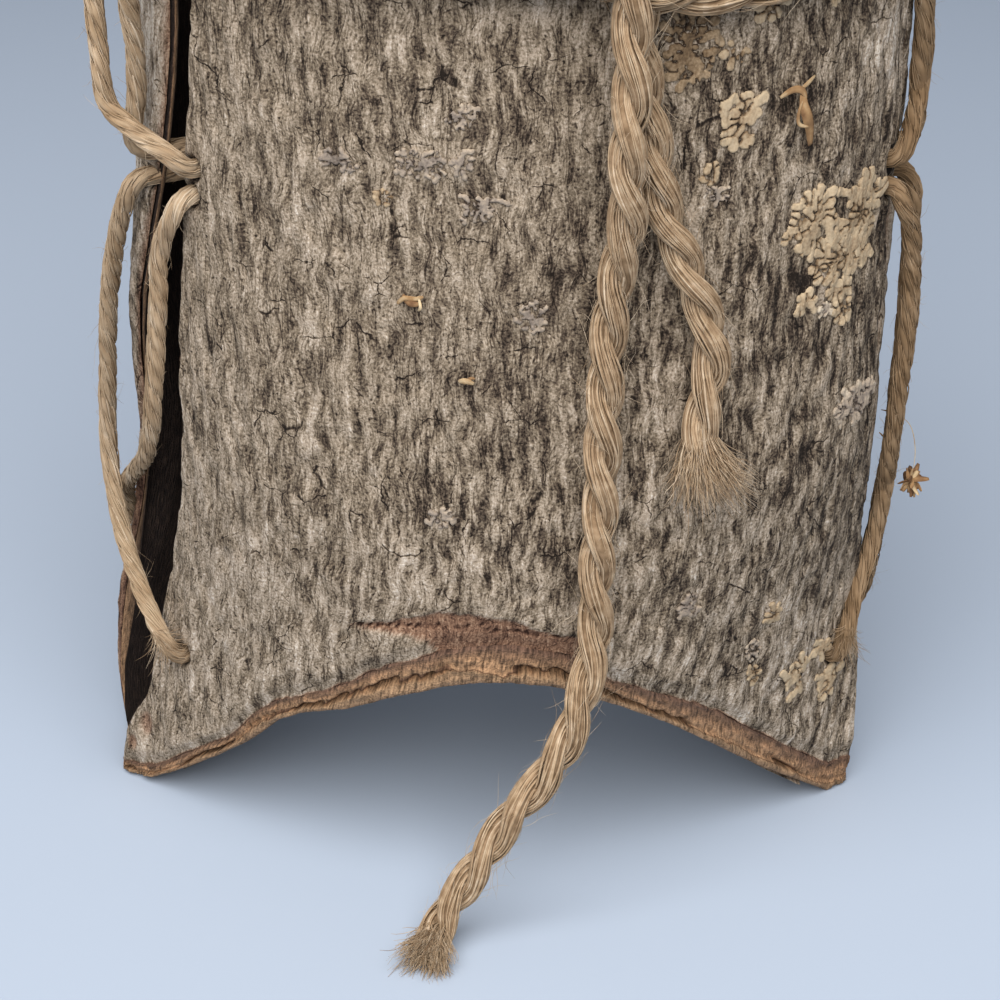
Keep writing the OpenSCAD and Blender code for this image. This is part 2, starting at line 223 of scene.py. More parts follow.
def plan(a, z):
    """Section of the sheet at height z: places across and back at angle a"""
    k = smooth(z/BLEND_HEIGHT)
    tip = mix(TIP_DEPTH, 0, k)
    half = mix(FOLD_DEPTH, MOUTH_DEPTH, k)/2 - tip
    c = np.cos(np.radians(a))
    x = mix(FOLD_WIDTH, MOUTH_WIDTH, k)/2*np.sin(np.radians(a))
    return np.stack([x, -(tip + half*np.sign(c)*np.abs(c)**mix(PINCH, 1, k))], -1)


def skin(panel, a, z, out):
    """Place on a panel, out millimetres from the face where inner and outer bark meet"""
    a, z, out = np.broadcast_arrays(*(np.asarray(v, float) for v in (a, z, out)))
    d = plan(a + SLOPE_STEP, z) - plan(a - SLOPE_STEP, z)
    d = d/np.linalg.norm(d, axis=-1, keepdims=True)
    p = plan(a, z) + out[..., None]*np.stack([d[..., 1], -d[..., 0]], -1)
    s = 1 if panel == FRONT else -1
    near_tip = 1 - np.abs(np.cos(np.radians(a)))**np.where(s*a < 0, 3, 1)
    back = FOOT_BACK*(1 - smooth(z/BLEND_HEIGHT))*near_tip
    spring = np.interp(z, SPRING_AT, SPRING_OUT)*grow(a, SPRING_SPAN)*(panel == REAR)
    across = LEAN*(smooth(z/BLEND_HEIGHT) - 1) + s*p[..., 0] - spring
    return np.stack([across, s*p[..., 1] + back, z], -1)


def ring(a, z, out):
    """Place all round the basket, with the front wall's middle at angle 0"""
    a, z, out = np.broadcast_arrays(*(np.asarray(v, float) for v in (a, z, out)))
    a = (a + 180) % 360 - 180
    rear = np.abs(a) > 90
    back = skin(REAR, np.where(rear, a - np.sign(a)*180, 0), z, out)
    return np.where(rear[..., None], back, skin(FRONT, np.where(rear, 0, a), z, out))


def fold_height(t):
    return np.maximum(0, (ARCH_RISE + FOOT_FLAT)*np.abs(np.sin(np.pi*t))**PINCH - FOOT_FLAT)


def score(t):
    return mix(TIP_SCORE, SCORE_WIDTH, np.sin(np.pi*t)**2)


BAND_AT = [-58, -53, -48, -43, -36, -31, -20, -9, 1, 12, 18.5, 27.5, 35.5, 43.5, 51.5, 58]
BAND_HIGH = [2.4, 3.2, 4.8, 5.4, 4.3, 4.3, 7.0, 6.8, 6.6, 6.2, 4.7, 5.3, 7.2, 6.8, 5.6, 5.4]
LIFT_AT = [-58, -55, -51, -46, -42, -38, -34, -30, -26, -22, -16, 30, 38, 43, 48, 54]
LIFT_HIGH = [0, 0.8, 1.2, 2.0, 4.1, 5.2, 4.3, 2.8, 1.2, 0.4, 0, 0, -0.8, -1.2, -0.8, 0]


def across_fold(t):
    return FOLD_WIDTH/2*np.sin(np.pi*(t - 0.5))


def front_score(t):
    """Height of the bare band on the front, read off the picture at these distances across"""
    return np.interp(across_fold(t), BAND_AT, BAND_HIGH)


def front_lift(t):
    """The left half of the front arch is fuller than the frame's, and the right half a little lower"""
    return np.interp(across_fold(t), LIFT_AT, LIFT_HIGH)


print("front wall from", turn(FRONT, 0, 100.0), "to", turn(FRONT, 1, 100.0), "degrees at 100 mm")

# %% [markdown]
# ## Jute
# Jute is a bast fibre: long, pale golden, matt and hairy. A cord of it is a bundle of fibres, so the
# material only gives each fibre its own tone and a slow stain along it, and the fibres themselves are
# modelled.

# %% Jute materials
def toned_material(name, stops, grit_mm, detail=3.0, low=0.25, swing=0.22, gloss=0.08):
    """A matt finish that takes the mesh's own tones and stains them in patches grit_mm wide"""
    material, tree = new_material(name)
    tone = node(tree, "Attribute", attribute_name="tone")
    place = node(tree, "TexCoord")
    stain = node(tree, "TexNoise", {"Vector": place.outputs["Object"], "Scale": 1/(grit_mm*MM),
                                    "Detail": detail})
    spread = node(tree, "MapRange", {"Value": stain.outputs["Fac"], "From Min": low, "From Max": 1 - low,
                                     "To Min": -swing, "To Max": swing})
    total = add(tree, tone.outputs["Fac"], spread.outputs["Result"])
    colour = node(tree, "ValToRGB", {"Fac": total}, stops=stops)
    surface(material, {"Base Color": colour.outputs["Color"], "Roughness": 0.95,
                       "Specular IOR Level": gloss})
    return material


# spun bast fibre is dry and matt: the eye gets straw colour where it is clean and brown where it is stained
# the dark end also colours the strand cores, as painted shade between the fibres
CORD_STOPS = [(0.0, "#4d3a28"), (0.3, "#836a50"), (0.6, "#a58b6e"), (0.85, "#bba488"), (1.0, "#d0bca3")]
TWINE_STOPS = [(0.0, "#4d3b29"), (0.3, "#7b6349"), (0.6, "#987f63"), (0.85, "#ae967a"), (1.0, "#c2ad93")]
cord_jute = toned_material("two-strand jute cord", CORD_STOPS, 1.4)
twine_jute = toned_material("jute twine", TWINE_STOPS, 4.0)


# %% Fibre tubes
def as_mesh(bm, name):
    mesh = bpy.data.meshes.new(name)
    bm.to_mesh(mesh)
    bm.free()
    return mesh


def read_places(mesh):
    places = np.empty(len(mesh.vertices)*3, np.float32)
    mesh.vertices.foreach_get("co", places)
    return places.reshape(-1, 3)


def set_places(mesh, places):
    """Moves a mesh's points to places in millimetres"""
    mesh.vertices.foreach_set("co", (places*MM).astype(np.float32).ravel())


def tube_pattern(rings, sides):
    """A grid rolled up into a unit tube; its height counts the rings."""
    bm = bmesh.new()
    bmesh.ops.create_grid(bm, x_segments=sides, y_segments=rings - 1, size=0.5)
    for v in bm.verts:
        angle = (v.co.x + 0.5)*2*math.pi
        v.co = (math.cos(angle), math.sin(angle), round((v.co.y + 0.5)*(rings - 1)))
    bmesh.ops.remove_doubles(bm, verts=bm.verts, dist=1e-4)
    bmesh.ops.holes_fill(bm, edges=[e for e in bm.edges if e.is_boundary])
    bmesh.ops.recalc_face_normals(bm, faces=bm.faces)
    return as_mesh(bm, "tube pattern")


def finish_piece(name, mesh, material):
    mesh.polygons.foreach_set("use_smooth", [True]*len(mesh.polygons))
    mesh.materials.append(material)
    mesh.update()
    piece = bpy.data.objects.new(name, mesh)
    scene.collection.objects.link(piece)
    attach(piece, "root")
    print(name, len(mesh.polygons), "faces")
    return piece


def set_values(mesh, name, values):
    flat = np.asarray(values, np.float32).ravel()
    mesh.attributes.new(name, "FLOAT", "POINT").data.foreach_set("value", flat)


# how much the facets of one fibre differ in tone
FACET_TONE = 0.18


def fibres(name, groups, material):
    """groups of (paths, radii, across, beside, tones, sides): tubes along paths, all in millimetres"""
    bm = bmesh.new()
    places, tones = [], []
    for paths, radii, across, beside, tone, sides in groups:
        pattern = tube_pattern(paths.shape[1], sides)
        shape = read_places(pattern)
        row = np.rint(shape[:, 2]).astype(int)
        for _ in range(len(paths)):
            bm.from_mesh(pattern)
        bpy.data.meshes.remove(pattern)
        rim = shape[:, 0, None]*across[:, row] + shape[:, 1, None]*beside[:, row]
        places.append((paths[:, row] + radii[:, row, None]*rim).reshape(-1, 3))
        facet = np.rint(np.arctan2(shape[:, 1], shape[:, 0])/(2*np.pi)*sides).astype(int) % sides
        streak = lattice(np.arange(len(paths))[:, None], facet[None], 5) - 0.5
        tones.append((tone[:, None] + FACET_TONE*streak).ravel())
    mesh = as_mesh(bm, name)
    set_places(mesh, np.concatenate(places))
    set_values(mesh, "tone", np.concatenate(tones))
    return finish_piece(name, mesh, material)


# %% [markdown]
# ## How a cord is laid up
# Two strands of fibres are twisted round each other. A twist could be faked with a bump, but its
# silhouette is what the eye reads as rope. So a smooth line is led through the route's points, a frame is
# carried along it without spinning, both strands turn round it, and every fibre keeps its own place in
# its strand. The strands flatten where they press on each other, and their own twist runs backwards, so
# the fibres show nearly along the cord.

# %% Lines and frames
def curve(points, steps):
    """A smooth line through the points"""
    p = np.asarray(points, float)
    last = len(p) - 1
    out = []
    for i in range(last):
        p0, p1, p2, p3 = p[max(i - 1, 0)], p[i], p[i + 1], p[min(i + 2, last)]
        square, cube = 2*p0 - 5*p1 + 4*p2 - p3, 3*p1 - p0 - 3*p2 + p3
        for u in np.arange(steps)/steps:
            out.append(0.5*(2*p1 + (p2 - p0)*u + square*u*u + cube*u**3))
    return np.array(out + [p[last]])


def evenly(points, gap):
    """The same line with points about one gap apart, and their distances along it"""
    along = np.concatenate([[0], np.cumsum(np.linalg.norm(np.diff(points, axis=0), axis=1))])
    at = np.linspace(0, along[-1], max(2, int(round(along[-1]/gap))) + 1)
    return np.stack([np.interp(at, along, points[:, k]) for k in range(3)], -1), at


def unit(v):
    return v/np.linalg.norm(v, axis=-1, keepdims=True)


def carried(line, start=(0.3, 0.2, 1.0)):
    """Directions along, across and beside a line, carried along it without spinning"""
    along = unit(np.gradient(line, axis=0))
    across = np.empty_like(line)
    n = np.asarray(start, float)
    for i, t in enumerate(along):
        n = unit(n - (n@t)*t)
        across[i] = n
    return along, across, np.cross(along, across)


# shares of the cord's thickness: a strand's distance from the middle, its depth and its width
CORD_STRAND, TWINE_STRAND = (0.225, 0.28, 0.35), (0.19, 0.30, 0.40)


def lay_up(line, at, thick, lay, count, rng, hand=-1, fibre=0.14, sides=4, shaded_core_tone=0.3,
           strands=2, strand=CORD_STRAND, vary=0.09, tone=0.62):
    """Groups of fibre tubes for a cord of this thickness, with one turn of lay every lay mm"""
    off, half_deep, half_wide = strand
    along, across, beside = carried(line)
    paths, radii, tones, cores = [], [], [], []
    slow = 0.3*np.sin(at/lay*0.9 + rng.uniform(0, 6))
    for k in range(strands):
        angle = (hand*2*np.pi*at/lay + 2*np.pi*k/strands + slow)[:, None]
        outward = np.cos(angle)*across + np.sin(angle)*beside
        sideways = np.cos(angle)*beside - np.sin(angle)*across
        swell = 1 + 0.05*np.sin(at/lay*4.1 + rng.uniform(0, 6))
        centre = line + off*thick*outward
        cores.append(centre)
        for j in range(count):
            wander = 0.25*np.sin(at/rng.uniform(5, 11) + rng.uniform(0, 6))
            place = 2*np.pi*(j + rng.uniform(-0.4, 0.4))/count
            w = place - hand*2*np.pi*at/lay*rng.uniform(0.9, 1.05) + wander
            full = swell*rng.uniform(0.88, 1.0) + 0.03*np.sin(at/rng.uniform(2, 5) + j)
            deep = (half_deep*thick - 0.5*fibre)*full*np.cos(w)
            wide = (half_wide*thick - 0.5*fibre)*full*np.sin(w)
            paths.append(centre + deep[:, None]*outward + wide[:, None]*sideways)
            radii.append(fibre*rng.uniform(0.6, 1.2)*(1 + 0.2*np.sin(at/rng.uniform(3, 7) + j)))
            tones.append(np.clip(rng.normal(tone, vary), 0.08, 1))
    shared = [np.repeat(f[None], len(paths), 0) for f in (across, beside)]
    inner = [np.repeat(f[None], strands, 0) for f in (across, beside)]
    # each strand's core is a tube of darker tone: painted shade seen between the fibres
    core = np.full((strands, len(line)), half_deep*thick*0.93)
    return [(np.array(paths), np.array(radii), *shared, np.array(tones), sides),
            (np.array(cores), core, *inner, np.full(strands, shaded_core_tone), 8)]


# %% [markdown]
# Loose hairs stand off every jute cord, and a cut end opens into a brush. Both are single fibres, thinner
# than the bundles in the cord, that taper to nothing. Real hairs are 0.05 mm; these are a little thicker
# so that they show.

# %% Loose hairs and frayed ends
def hair_group(starts, ways, bends, lengths, thick, tones, rng, rings=9, wave=0.03):
    """Hairs that taper and ripple, each with its own start, way, bend and length"""
    k = np.linspace(0, 1, rings)[None, :, None]
    paths = starts[:, None] + lengths[:, None, None]*(ways[:, None]*k + bends[:, None]*k**2)
    ripple = np.sin(k*rng.uniform(3, 11, (len(starts), 1, 3)) + rng.uniform(0, 6, (len(starts), 1, 3)))
    paths = paths + wave*lengths[:, None, None]*k*ripple
    paths[..., 2] = np.maximum(paths[..., 2], 0.15)
    along = unit(np.gradient(paths, axis=1))
    across = unit(np.cross(along, np.array([0.31, 0.52, 0.8])))
    radii = thick[:, None]*(1 - 0.75*np.linspace(0, 1, rings)[None]**2)
    return paths, radii, across, np.cross(along, across), tones, 3


def hairs(line, thick, count, rng, long=(1, 6), stand=0.35, fine=0.03):
    """Loose hairs all along a cord"""
    along, across, beside = carried(line)
    i = rng.integers(2, len(line) - 2, count)
    w = rng.uniform(0, 2*np.pi, count)[:, None]
    out = np.cos(w)*across[i] + np.sin(w)*beside[i]
    ways = unit(along[i]*rng.choice([-1, 1], (count, 1)) + out*rng.uniform(0.05, stand*2, (count, 1)))
    bends = rng.normal(0, 0.33, (count, 3)) - out*rng.uniform(0, 0.3, (count, 1))
    lengths = rng.uniform(*long, count)
    return hair_group(line[i] + out*0.42*thick, ways, bends, lengths,
                      np.full(count, fine), np.clip(rng.normal(0.8, 0.12, count), 0, 1), rng, wave=0.05)


def fray(line, thick, count, rng, long, spread, lean=(0, 0, 0), fine=0.09):
    """A brush at the end of a line: hairs that start inside the cord and fan out"""
    along, across, beside = carried(line)
    w = rng.uniform(0, 2*np.pi, count)[:, None]
    far = np.sqrt(rng.uniform(0, 1, count))[:, None]
    out = np.cos(w)*across[-1] + np.sin(w)*beside[-1]
    ways = unit(along[-1] + out*far*spread*0.5 + rng.normal(0, 0.04, (count, 3)))
    bends = out*far*spread*0.6 + np.asarray(lean) + rng.normal(0, 0.07, (count, 3))
    starts = line[-1] - along[-1]*rng.uniform(1.0, 4.5, (count, 1)) + out*far*0.3*thick
    return hair_group(starts, ways, bends, rng.uniform(*long, count), fine*rng.uniform(0.5, 1.1, count),
                      np.clip(rng.normal(0.7, 0.14, count), 0, 1), rng, wave=0.06)


# %% [markdown]
# ## The two tails of the tie cord
# The long tail hangs from the knot down the wall, swings out over the arch and just touches the floor.
# The short tail lies on the wall. Their route points are those of the frame: angle, height and distance
# out on the wall, then plain places in front of the arch.

# %% Tie cord tails
TIE, TIE_LAY = 5.0, 17.0
TIE_OUT = SKIN_OUT + FIT + TIE/2
KNOT_TURN, BELT_HEIGHT, KNOT_SAG = 14.0, 139.0, 4.0
KNOT_HEIGHT = BELT_HEIGHT - KNOT_SAG
TAIL_TOP = KNOT_HEIGHT - 4.0 - TIE/2 - FIT
# angle, height and distance out, inside the knot and where the long tail stands off the wall below it
LONG_KNOT = [(14.5, KNOT_HEIGHT + 8.5, 7.0), (12.8, KNOT_HEIGHT + 5.5, 9.4), (12.4, KNOT_HEIGHT, 9.8)]
LONG_OFF = [(12.6, TAIL_TOP, 9.4), (12.7, 121, 9.6), (12.6, 114, 9.2), (13.3, 106, 7.6), (12.8, 99, 5.6)]
SHORT_KNOT = [(15.0, KNOT_HEIGHT + 6, 4.0), (14.6, KNOT_HEIGHT, 4.8)]
# angle and height where a tail lies on the wall
LONG_WALL = [(12.1, 91), (11.7, 81), (11.7, 72), (11.7, 62), (11.7, 54)]
SHORT_WALL = [(14.6, TAIL_TOP), (15.5, 123.4), (16.5, 118.3), (17.2, 114), (18, 110), (19.2, 106),
              (20.8, 102.5), (23, 98), (24.9, 94), (26.4, 90.5), (27.1, 87), (27.1, 83.8), (26.6, 80.6),
              (26, 76), (26, 73)]
# places in front of the arch, down to the floor
LONG_AIR = [(11.1, -40.5, 45), (9.7, -42.5, 38), (7.5, -44, 31), (4, -45, 25), (0, -46, 20), (-3, -47, 15),
            (-6.4, -48, 9.5), (-8.8, -48.8, 5.9), (-10.1, -50.2, 3.6), (-10.8, -52, 2.9)]
TAIL_FIBRES, BRUSH_HAIRS = 46, 900


def on_wall(points):
    return [ring(a, z, TIE_OUT) for a, z in points]


def tail(name, points, node_name, seed, fan):
    rng = np.random.default_rng(seed)
    line, at = evenly(curve(points, 8), 0.9)
    piece = fibres(name, lay_up(line, at, TIE, TIE_LAY, TAIL_FIBRES, rng), cord_jute)
    loose_hairs = [hairs(line, TIE, len(line)*3, rng), fray(line, TIE, BRUSH_HAIRS, rng, **fan)]
    loose = fibres(name + "_hairs", loose_hairs, cord_jute)
    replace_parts(piece, node_name)
    print(name, "is", round(at[-1], 1), "mm long")


long_points = [ring(*q) for q in LONG_KNOT + LONG_OFF] + on_wall(LONG_WALL)
long_points += [np.array(q, float) for q in LONG_AIR]
tail("long_tail", long_points, "tie_cord_long_tail", 11, dict(long=(5.0, 7.4), spread=0.4))
short_points = [ring(*q) for q in SHORT_KNOT] + on_wall(SHORT_WALL)
tail("short_tail", short_points, "tie_cord_short_tail", 12,
     dict(long=(7.0, 10.0), spread=0.5, lean=(0.2, 0, 0)))

# %% [markdown]
# ## Belt and knot
# The same cord goes round the body and is tied at the front in a flat knot of two bights. Each bight
# comes from its own side, turns back round the other's legs and leaves as a tail.

# %% Tie cord belt
SAG_REACH, BELT_OPEN = 70.0, 9.0
# to the right of the knot the belt drops, to the left it rises: by how much, how far away and how wide
BELT_DROP, BELT_RISE, BELT_BEND_AT, BELT_BEND = 1.7, 0.8, 14, 18
away = np.linspace(0.5, 360 - BELT_OPEN, 140)
near = np.minimum(away, 360 - away)
belt_z = BELT_HEIGHT - KNOT_SAG*smooth(1 - near/SAG_REACH)
belt_z = belt_z - BELT_DROP*np.exp(-((away - BELT_BEND_AT)/BELT_BEND)**2)
belt_z = belt_z + BELT_RISE*np.exp(-((360 - away - BELT_BEND_AT)/BELT_BEND)**2)
belt_line, belt_at = evenly(ring(KNOT_TURN + away, belt_z, TIE_OUT), 1.0)
rng = np.random.default_rng(13)
belt = fibres("tie_belt", lay_up(belt_line, belt_at, TIE, TIE_LAY, 34, rng, fibre=0.19, sides=3)
              + [hairs(belt_line, TIE, 300, rng)], cord_jute)
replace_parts(belt, "tie_cord_belt")

# %% Tie cord knot
KNOT_DEPTH, KNOT_LIFT, KNOT_TIGHT = 2.3, 4.6, 0.92
# degrees of the wall that one width of the cord covers
CORD_TURN = 5.6
# across, up and over or under, for one bight
BIGHT = [(-11, 0.6, -0.8), (-7, 2.0, -0.9), (-3, 3.4, 0.5), (0, 4.2, 1.0), (3, 4.0, 0.2), (6, 2.6, -0.9),
         (7.2, 0, -1.0), (6, -2.6, -0.9), (3, -4.0, 0.2), (0, -4.2, 0.8), (-2.6, -3.4, 0.4),
         (-4.6, -1.6, -0.6)]


def knot_points(side):
    """The two bights mirror each other across the knot, with over and under exchanged"""
    points = []
    for across_mm, up_mm, over in BIGHT:
        a = KNOT_TURN + side*across_mm/TIE*CORD_TURN
        out = TIE_OUT + KNOT_DEPTH + side*KNOT_DEPTH*over
        points.append(ring(a, KNOT_HEIGHT + KNOT_LIFT + up_mm, out))
    return points


rng = np.random.default_rng(14)
knot_groups = []
for side in (1, -1):
    bight_line, bight_at = evenly(curve(knot_points(side), 8), 0.9)
    knot_groups += lay_up(bight_line, bight_at, TIE*KNOT_TIGHT, TIE_LAY, 36, rng, fibre=0.17)
    knot_groups.append(hairs(bight_line, TIE, 50, rng))
knot = fibres("tie_knot", knot_groups, cord_jute)
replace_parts(knot, "tie_cord_knot")

# %% [markdown]
# ## Lacing
# One length of twine laces each open side. It comes out of a hole in one wall, crosses the seam, goes in
# and out of the other wall and climbs back up under its own first leg. The route's points give the share
# of the way from the front hole to the rear hole, the height and the distance out. The two lower legs
# hang differently on each side.

# %% Lacing route
LEFT, RIGHT = -1, 1
LACING, LACE_LAY = 3.0, 9.6
LACE_LOW, LACE_MID, LACE_PAIR = 27.0, 103.5, 3.8
LACE_TOP = HOOP_LOW - 12
LACE_UP, LACE_DOWN = LACE_MID + LACE_PAIR/2, LACE_MID - LACE_PAIR/2
IN_WALL, MOUTH = (SKIN_OUT - INNER_THICK)/2, SKIN_OUT + 0.7
HUG, INSIDE = SKIN_OUT + FIT + LACING/2, -INNER_THICK - FIT - LACING/2
WELL_INSIDE, LACE_END = INSIDE - 2.6, INSIDE - 6.6
OVER_TIE = TIE_OUT + TIE/2 + FIT + LACING/2
# share of the way, height and clearance of the points of both lower legs, down and up again
LEFT_DOWN = [(1.02, 98.6, 0.3), (1.08, 92, 0.4), (1.1, 80, 0.2), (1.05, 66.8, 1.6), (0.95, 55, 3.2),
             (0.75, 46, 3.7), (0.45, 38.5, 4.6), (0.08, 31.5, 2.4)]
LEFT_UP = [(1, 31, 0), (1, 38, 0), (1, 44, 0.2), (0.88, 49, 0.4), (0.42, 59, 0.9), (0.22, 70, 0.9),
           (0.17, 84.9, 0.8), (0.2, 93, 0.7), (0.04, 98.8, 0.4)]
RIGHT_DOWN = [(1.02, 98.6, 0.4), (1.09, 92.9, 0.7), (1.12, 80.5, 1.0), (1.07, 66.8, 0.9),
              (0.95, 53.7, 0.8), (0.65, 43.5, 0.5), (0.3, 36.3, 0), (0.05, 31, 0)]
RIGHT_UP = [(1, 31, 0), (1, 39, 0), (0.95, 47.9, 0.3), (0.8, 58, 0.9), (0.6, 70.4, 1.7), (0.45, 84.9, 2.2),
            (0.2, 95, 1.6), (0.02, 98.8, 0.5)]
LACE_LEGS = {LEFT: (LEFT_DOWN, LEFT_UP), RIGHT: (RIGHT_DOWN, RIGHT_UP)}
# how far the upper legs stand off on each side, and the heights over which that ends
UPPER_SLACK, UPPER_SPAN = {LEFT: 0.97, RIGHT: 0.05}, (130, 138)
# how far the holes lie in from their edges in degrees: the low ones, with the height where that ends
LOW_INSET = {(LEFT, FRONT): (14, 65), (LEFT, REAR): (60, 52),
             (RIGHT, FRONT): (22, 65), (RIGHT, REAR): (14, 65)}
# and the high ones
HIGH_INSET = {LEFT: 2.6, RIGHT: 4.8}


def high(k):
    return mix(LACE_UP, LACE_TOP, k)


def through(u, z, rise):
    return [(u, z + 0.3*rise, MOUTH), (u, z, IN_WALL), (u, z - 0.3*rise, INSIDE)]


def lace_route(side):
    down, up = [[(share, z, HUG + clear) for share, z, clear in leg] for leg in LACE_LEGS[side]]
    out_and_over = [
        (0, LACE_TOP, LACE_END), (0, LACE_TOP, WELL_INSIDE), (0, LACE_TOP, IN_WALL),
        (0, LACE_TOP - 0.3, MOUTH), (0.06, LACE_TOP - 3, HUG + 1.1), (0.14, high(0.86), HUG + 2.5),
        (0.3, high(0.72), HUG + 4.9), (0.45, BELT_HEIGHT, OVER_TIE + 1.4), (0.6, high(0.39), HUG + 5.3),
        (0.8, high(0.26), HUG + 2.7), (0.94, high(0.14), HUG + 1.1), (1, LACE_UP + 2.6, HUG + 0.7)]
    back_up = [
        (0.08, LACE_UP + 2.4, HUG + 1.3), (0.5, LACE_UP + 4.6, HUG + 3.3), (0.95, high(0.12), HUG + 5.1),
        (1.05, high(0.22), HUG + 6.1), (1.07, high(0.34), HUG + 6.7), (1.05, BELT_HEIGHT, OVER_TIE + 1.8),
        (1.02, high(0.72), HUG + 5.7), (1, high(0.87), HUG + 3.1), (1, LACE_TOP - 3, HUG + 1.1),
        (1, LACE_TOP - 0.3, MOUTH), (1, LACE_TOP, IN_WALL), (1, LACE_TOP, WELL_INSIDE),
        (1, LACE_TOP, LACE_END)]
    rear_hole = through(1, LACE_UP, 1) + [(1, LACE_MID, INSIDE - 1.4)] + through(1, LACE_DOWN, -1)[::-1]
    low_holes = through(0, LACE_LOW, 1) + [(0.5, LACE_LOW - 6, WELL_INSIDE)] + through(1, LACE_LOW, 1)[::-1]
    front_hole = through(0, LACE_DOWN, -1) + [(0, LACE_MID, INSIDE - 1.4)] + through(0, LACE_UP, 1)[::-1]
    return out_and_over + rear_hole + down + low_holes + up + front_hole + back_up


def lace_turn(side, panel, z):
    """Angle of the lacing's holes on a panel at height z"""
    low_inset, ends_at = LOW_INSET[side, panel]
    inset = mix(low_inset, HIGH_INSET[side], smooth(z/ends_at))
    if (side == LEFT) == (panel == FRONT):
        return turn(panel, 0.0, z) + inset
    return turn(panel, 1.0, z) - inset


def lace_point(side, share, z, out):
    if out > HUG and z > LACE_MID:
        out = HUG + (out - HUG)*mix(UPPER_SLACK[side], 1, grow(z, UPPER_SPAN))
    ends = [skin(panel, lace_turn(side, panel, z), z, out) for panel in (FRONT, REAR)]
    return mix(ends[0], ends[1], share)


# %% Lacing twine
# the left lacing is given a pale tone as painted light, the right one a dark tone as painted shade
lace_lines = {}
for side, side_name, seed, tone in ((LEFT, "left", 21, 0.8), (RIGHT, "right", 22, 0.42)):
    rng = np.random.default_rng(seed)
    line, at = evenly(curve([lace_point(side, *q) for q in lace_route(side)], 6), 1.0)
    hole = lace_point(side, 0, LACE_LOW, MOUTH)
    into = int(np.argmin(np.linalg.norm(line - hole, axis=1)))
    twisted = lay_up(line, at, LACING*0.94, LACE_LAY, 17, rng, fibre=0.12, sides=3, shaded_core_tone=tone - 0.1,
                     strands=3, strand=TWINE_STRAND, vary=0.07, tone=tone)
    loose = [hairs(line, LACING, 520, rng, long=(0.8, 3), stand=0.6, fine=0.025),
             fray(line[into - 5:into], LACING, 130, rng, (1.2, 3.2), 1.5, fine=0.06)]
    lacing = fibres(side_name + "_lacing_twine", twisted + loose, twine_jute)
    lace_lines[side] = line
    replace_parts(lacing, side_name + "_lacing")

# %% [markdown]
# Inside the wall each end of the lacing is stopped by a knot. A turn and a half of the same twine, drawn
# tight round its own end, is what one sees of such a knot.

# %% Lacing stopper knots
KNOT_COIL, KNOT_COIL_TURNS, KNOT_COIL_RISE = LACING + FIT, 1.6, 2.6
for side, side_name, seed in ((LEFT, "left", 23), (RIGHT, "right", 24)):
    rng = np.random.default_rng(seed)
    groups = []
    for panel in (FRONT, REAR):
        a = lace_turn(side, panel, LACE_TOP)
        centre = skin(panel, a, LACE_TOP, -INNER_THICK - 2*FIT - LACING/2)
        inward = unit(skin(panel, a, LACE_TOP, -2) - skin(panel, a, LACE_TOP, 0))
        level = unit(np.cross(inward, (0, 0, 1)))
        w = np.linspace(0, 2*np.pi*KNOT_COIL_TURNS, 40)[:, None]
        reach = KNOT_COIL*0.85*(1 - 0.12*w/w[-1])
        coil = centre + reach*(np.cos(w)*level + np.sin(w)*np.array([0, 0, 1.0]))
        line, at = evenly(coil + inward*KNOT_COIL_RISE*w/w[-1], 0.9)
        groups += lay_up(line, at, LACING, LACE_LAY, 13, rng, fibre=0.2, sides=3, shaded_core_tone=0.3)
    stopper = fibres(side_name + "_stopper_knots", groups, twine_jute)
    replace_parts(stopper, side_name + "_lacing_knots")

# %% [markdown]
# ## Rim lashing
# Twine winds round both hoops and the bark edge, twenty-one turns in all. Each turn rises outside,
# crosses the rim and comes back through the next hole, so one stitch is a short list of points that a
# loop repeats round the rim.

# %% Rim lashing
LASHING, RIM_TURNS, RIM_START = 2.5, 21, -49.0
RIM_STEP = 360/RIM_TURNS
LASH_LOW, LASH_HIGH, LASH_OUT, LASH_IN = 179.55, 196.55, 6.55, -7.25
HOOP_MID = (HOOP_LOW + HOOP_TOP)/2


def back_in(b):
    """Down inside the inner hoop and into the hole at angle b"""
    return [(b, HOOP_LOW - 1, LASH_IN + 0.1), (b, LASH_LOW, -INNER_THICK - 2), (b, LASH_LOW, 0)]


def stitch(a, b):
    """One turn, from the hole at angle a over the rim to the hole at angle b"""
    return [(a, LASH_LOW, SKIN_OUT + 1), (mix(a, b, 0.07), HOOP_LOW - 1, LASH_OUT - 0.3),
            (mix(a, b, 0.16), HOOP_LOW + 1.4, LASH_OUT + 0.1), (mix(a, b, 0.5), HOOP_MID, LASH_OUT + 0.3),
            (mix(a, b, 0.9), HOOP_TOP + 0.2, LASH_OUT + 0.2),
            (b, LASH_HIGH + 0.2, mix(LASH_OUT, LASH_IN, 0.14)),
            (b, LASH_HIGH + 0.3, mix(LASH_OUT, LASH_IN, 0.5)),
            (b, LASH_HIGH + 0.2, mix(LASH_OUT, LASH_IN, 0.86)),
            (b, HOOP_TOP + 0.2, LASH_IN - 0.2), (b, HOOP_MID, LASH_IN - 0.2)] + back_in(b)


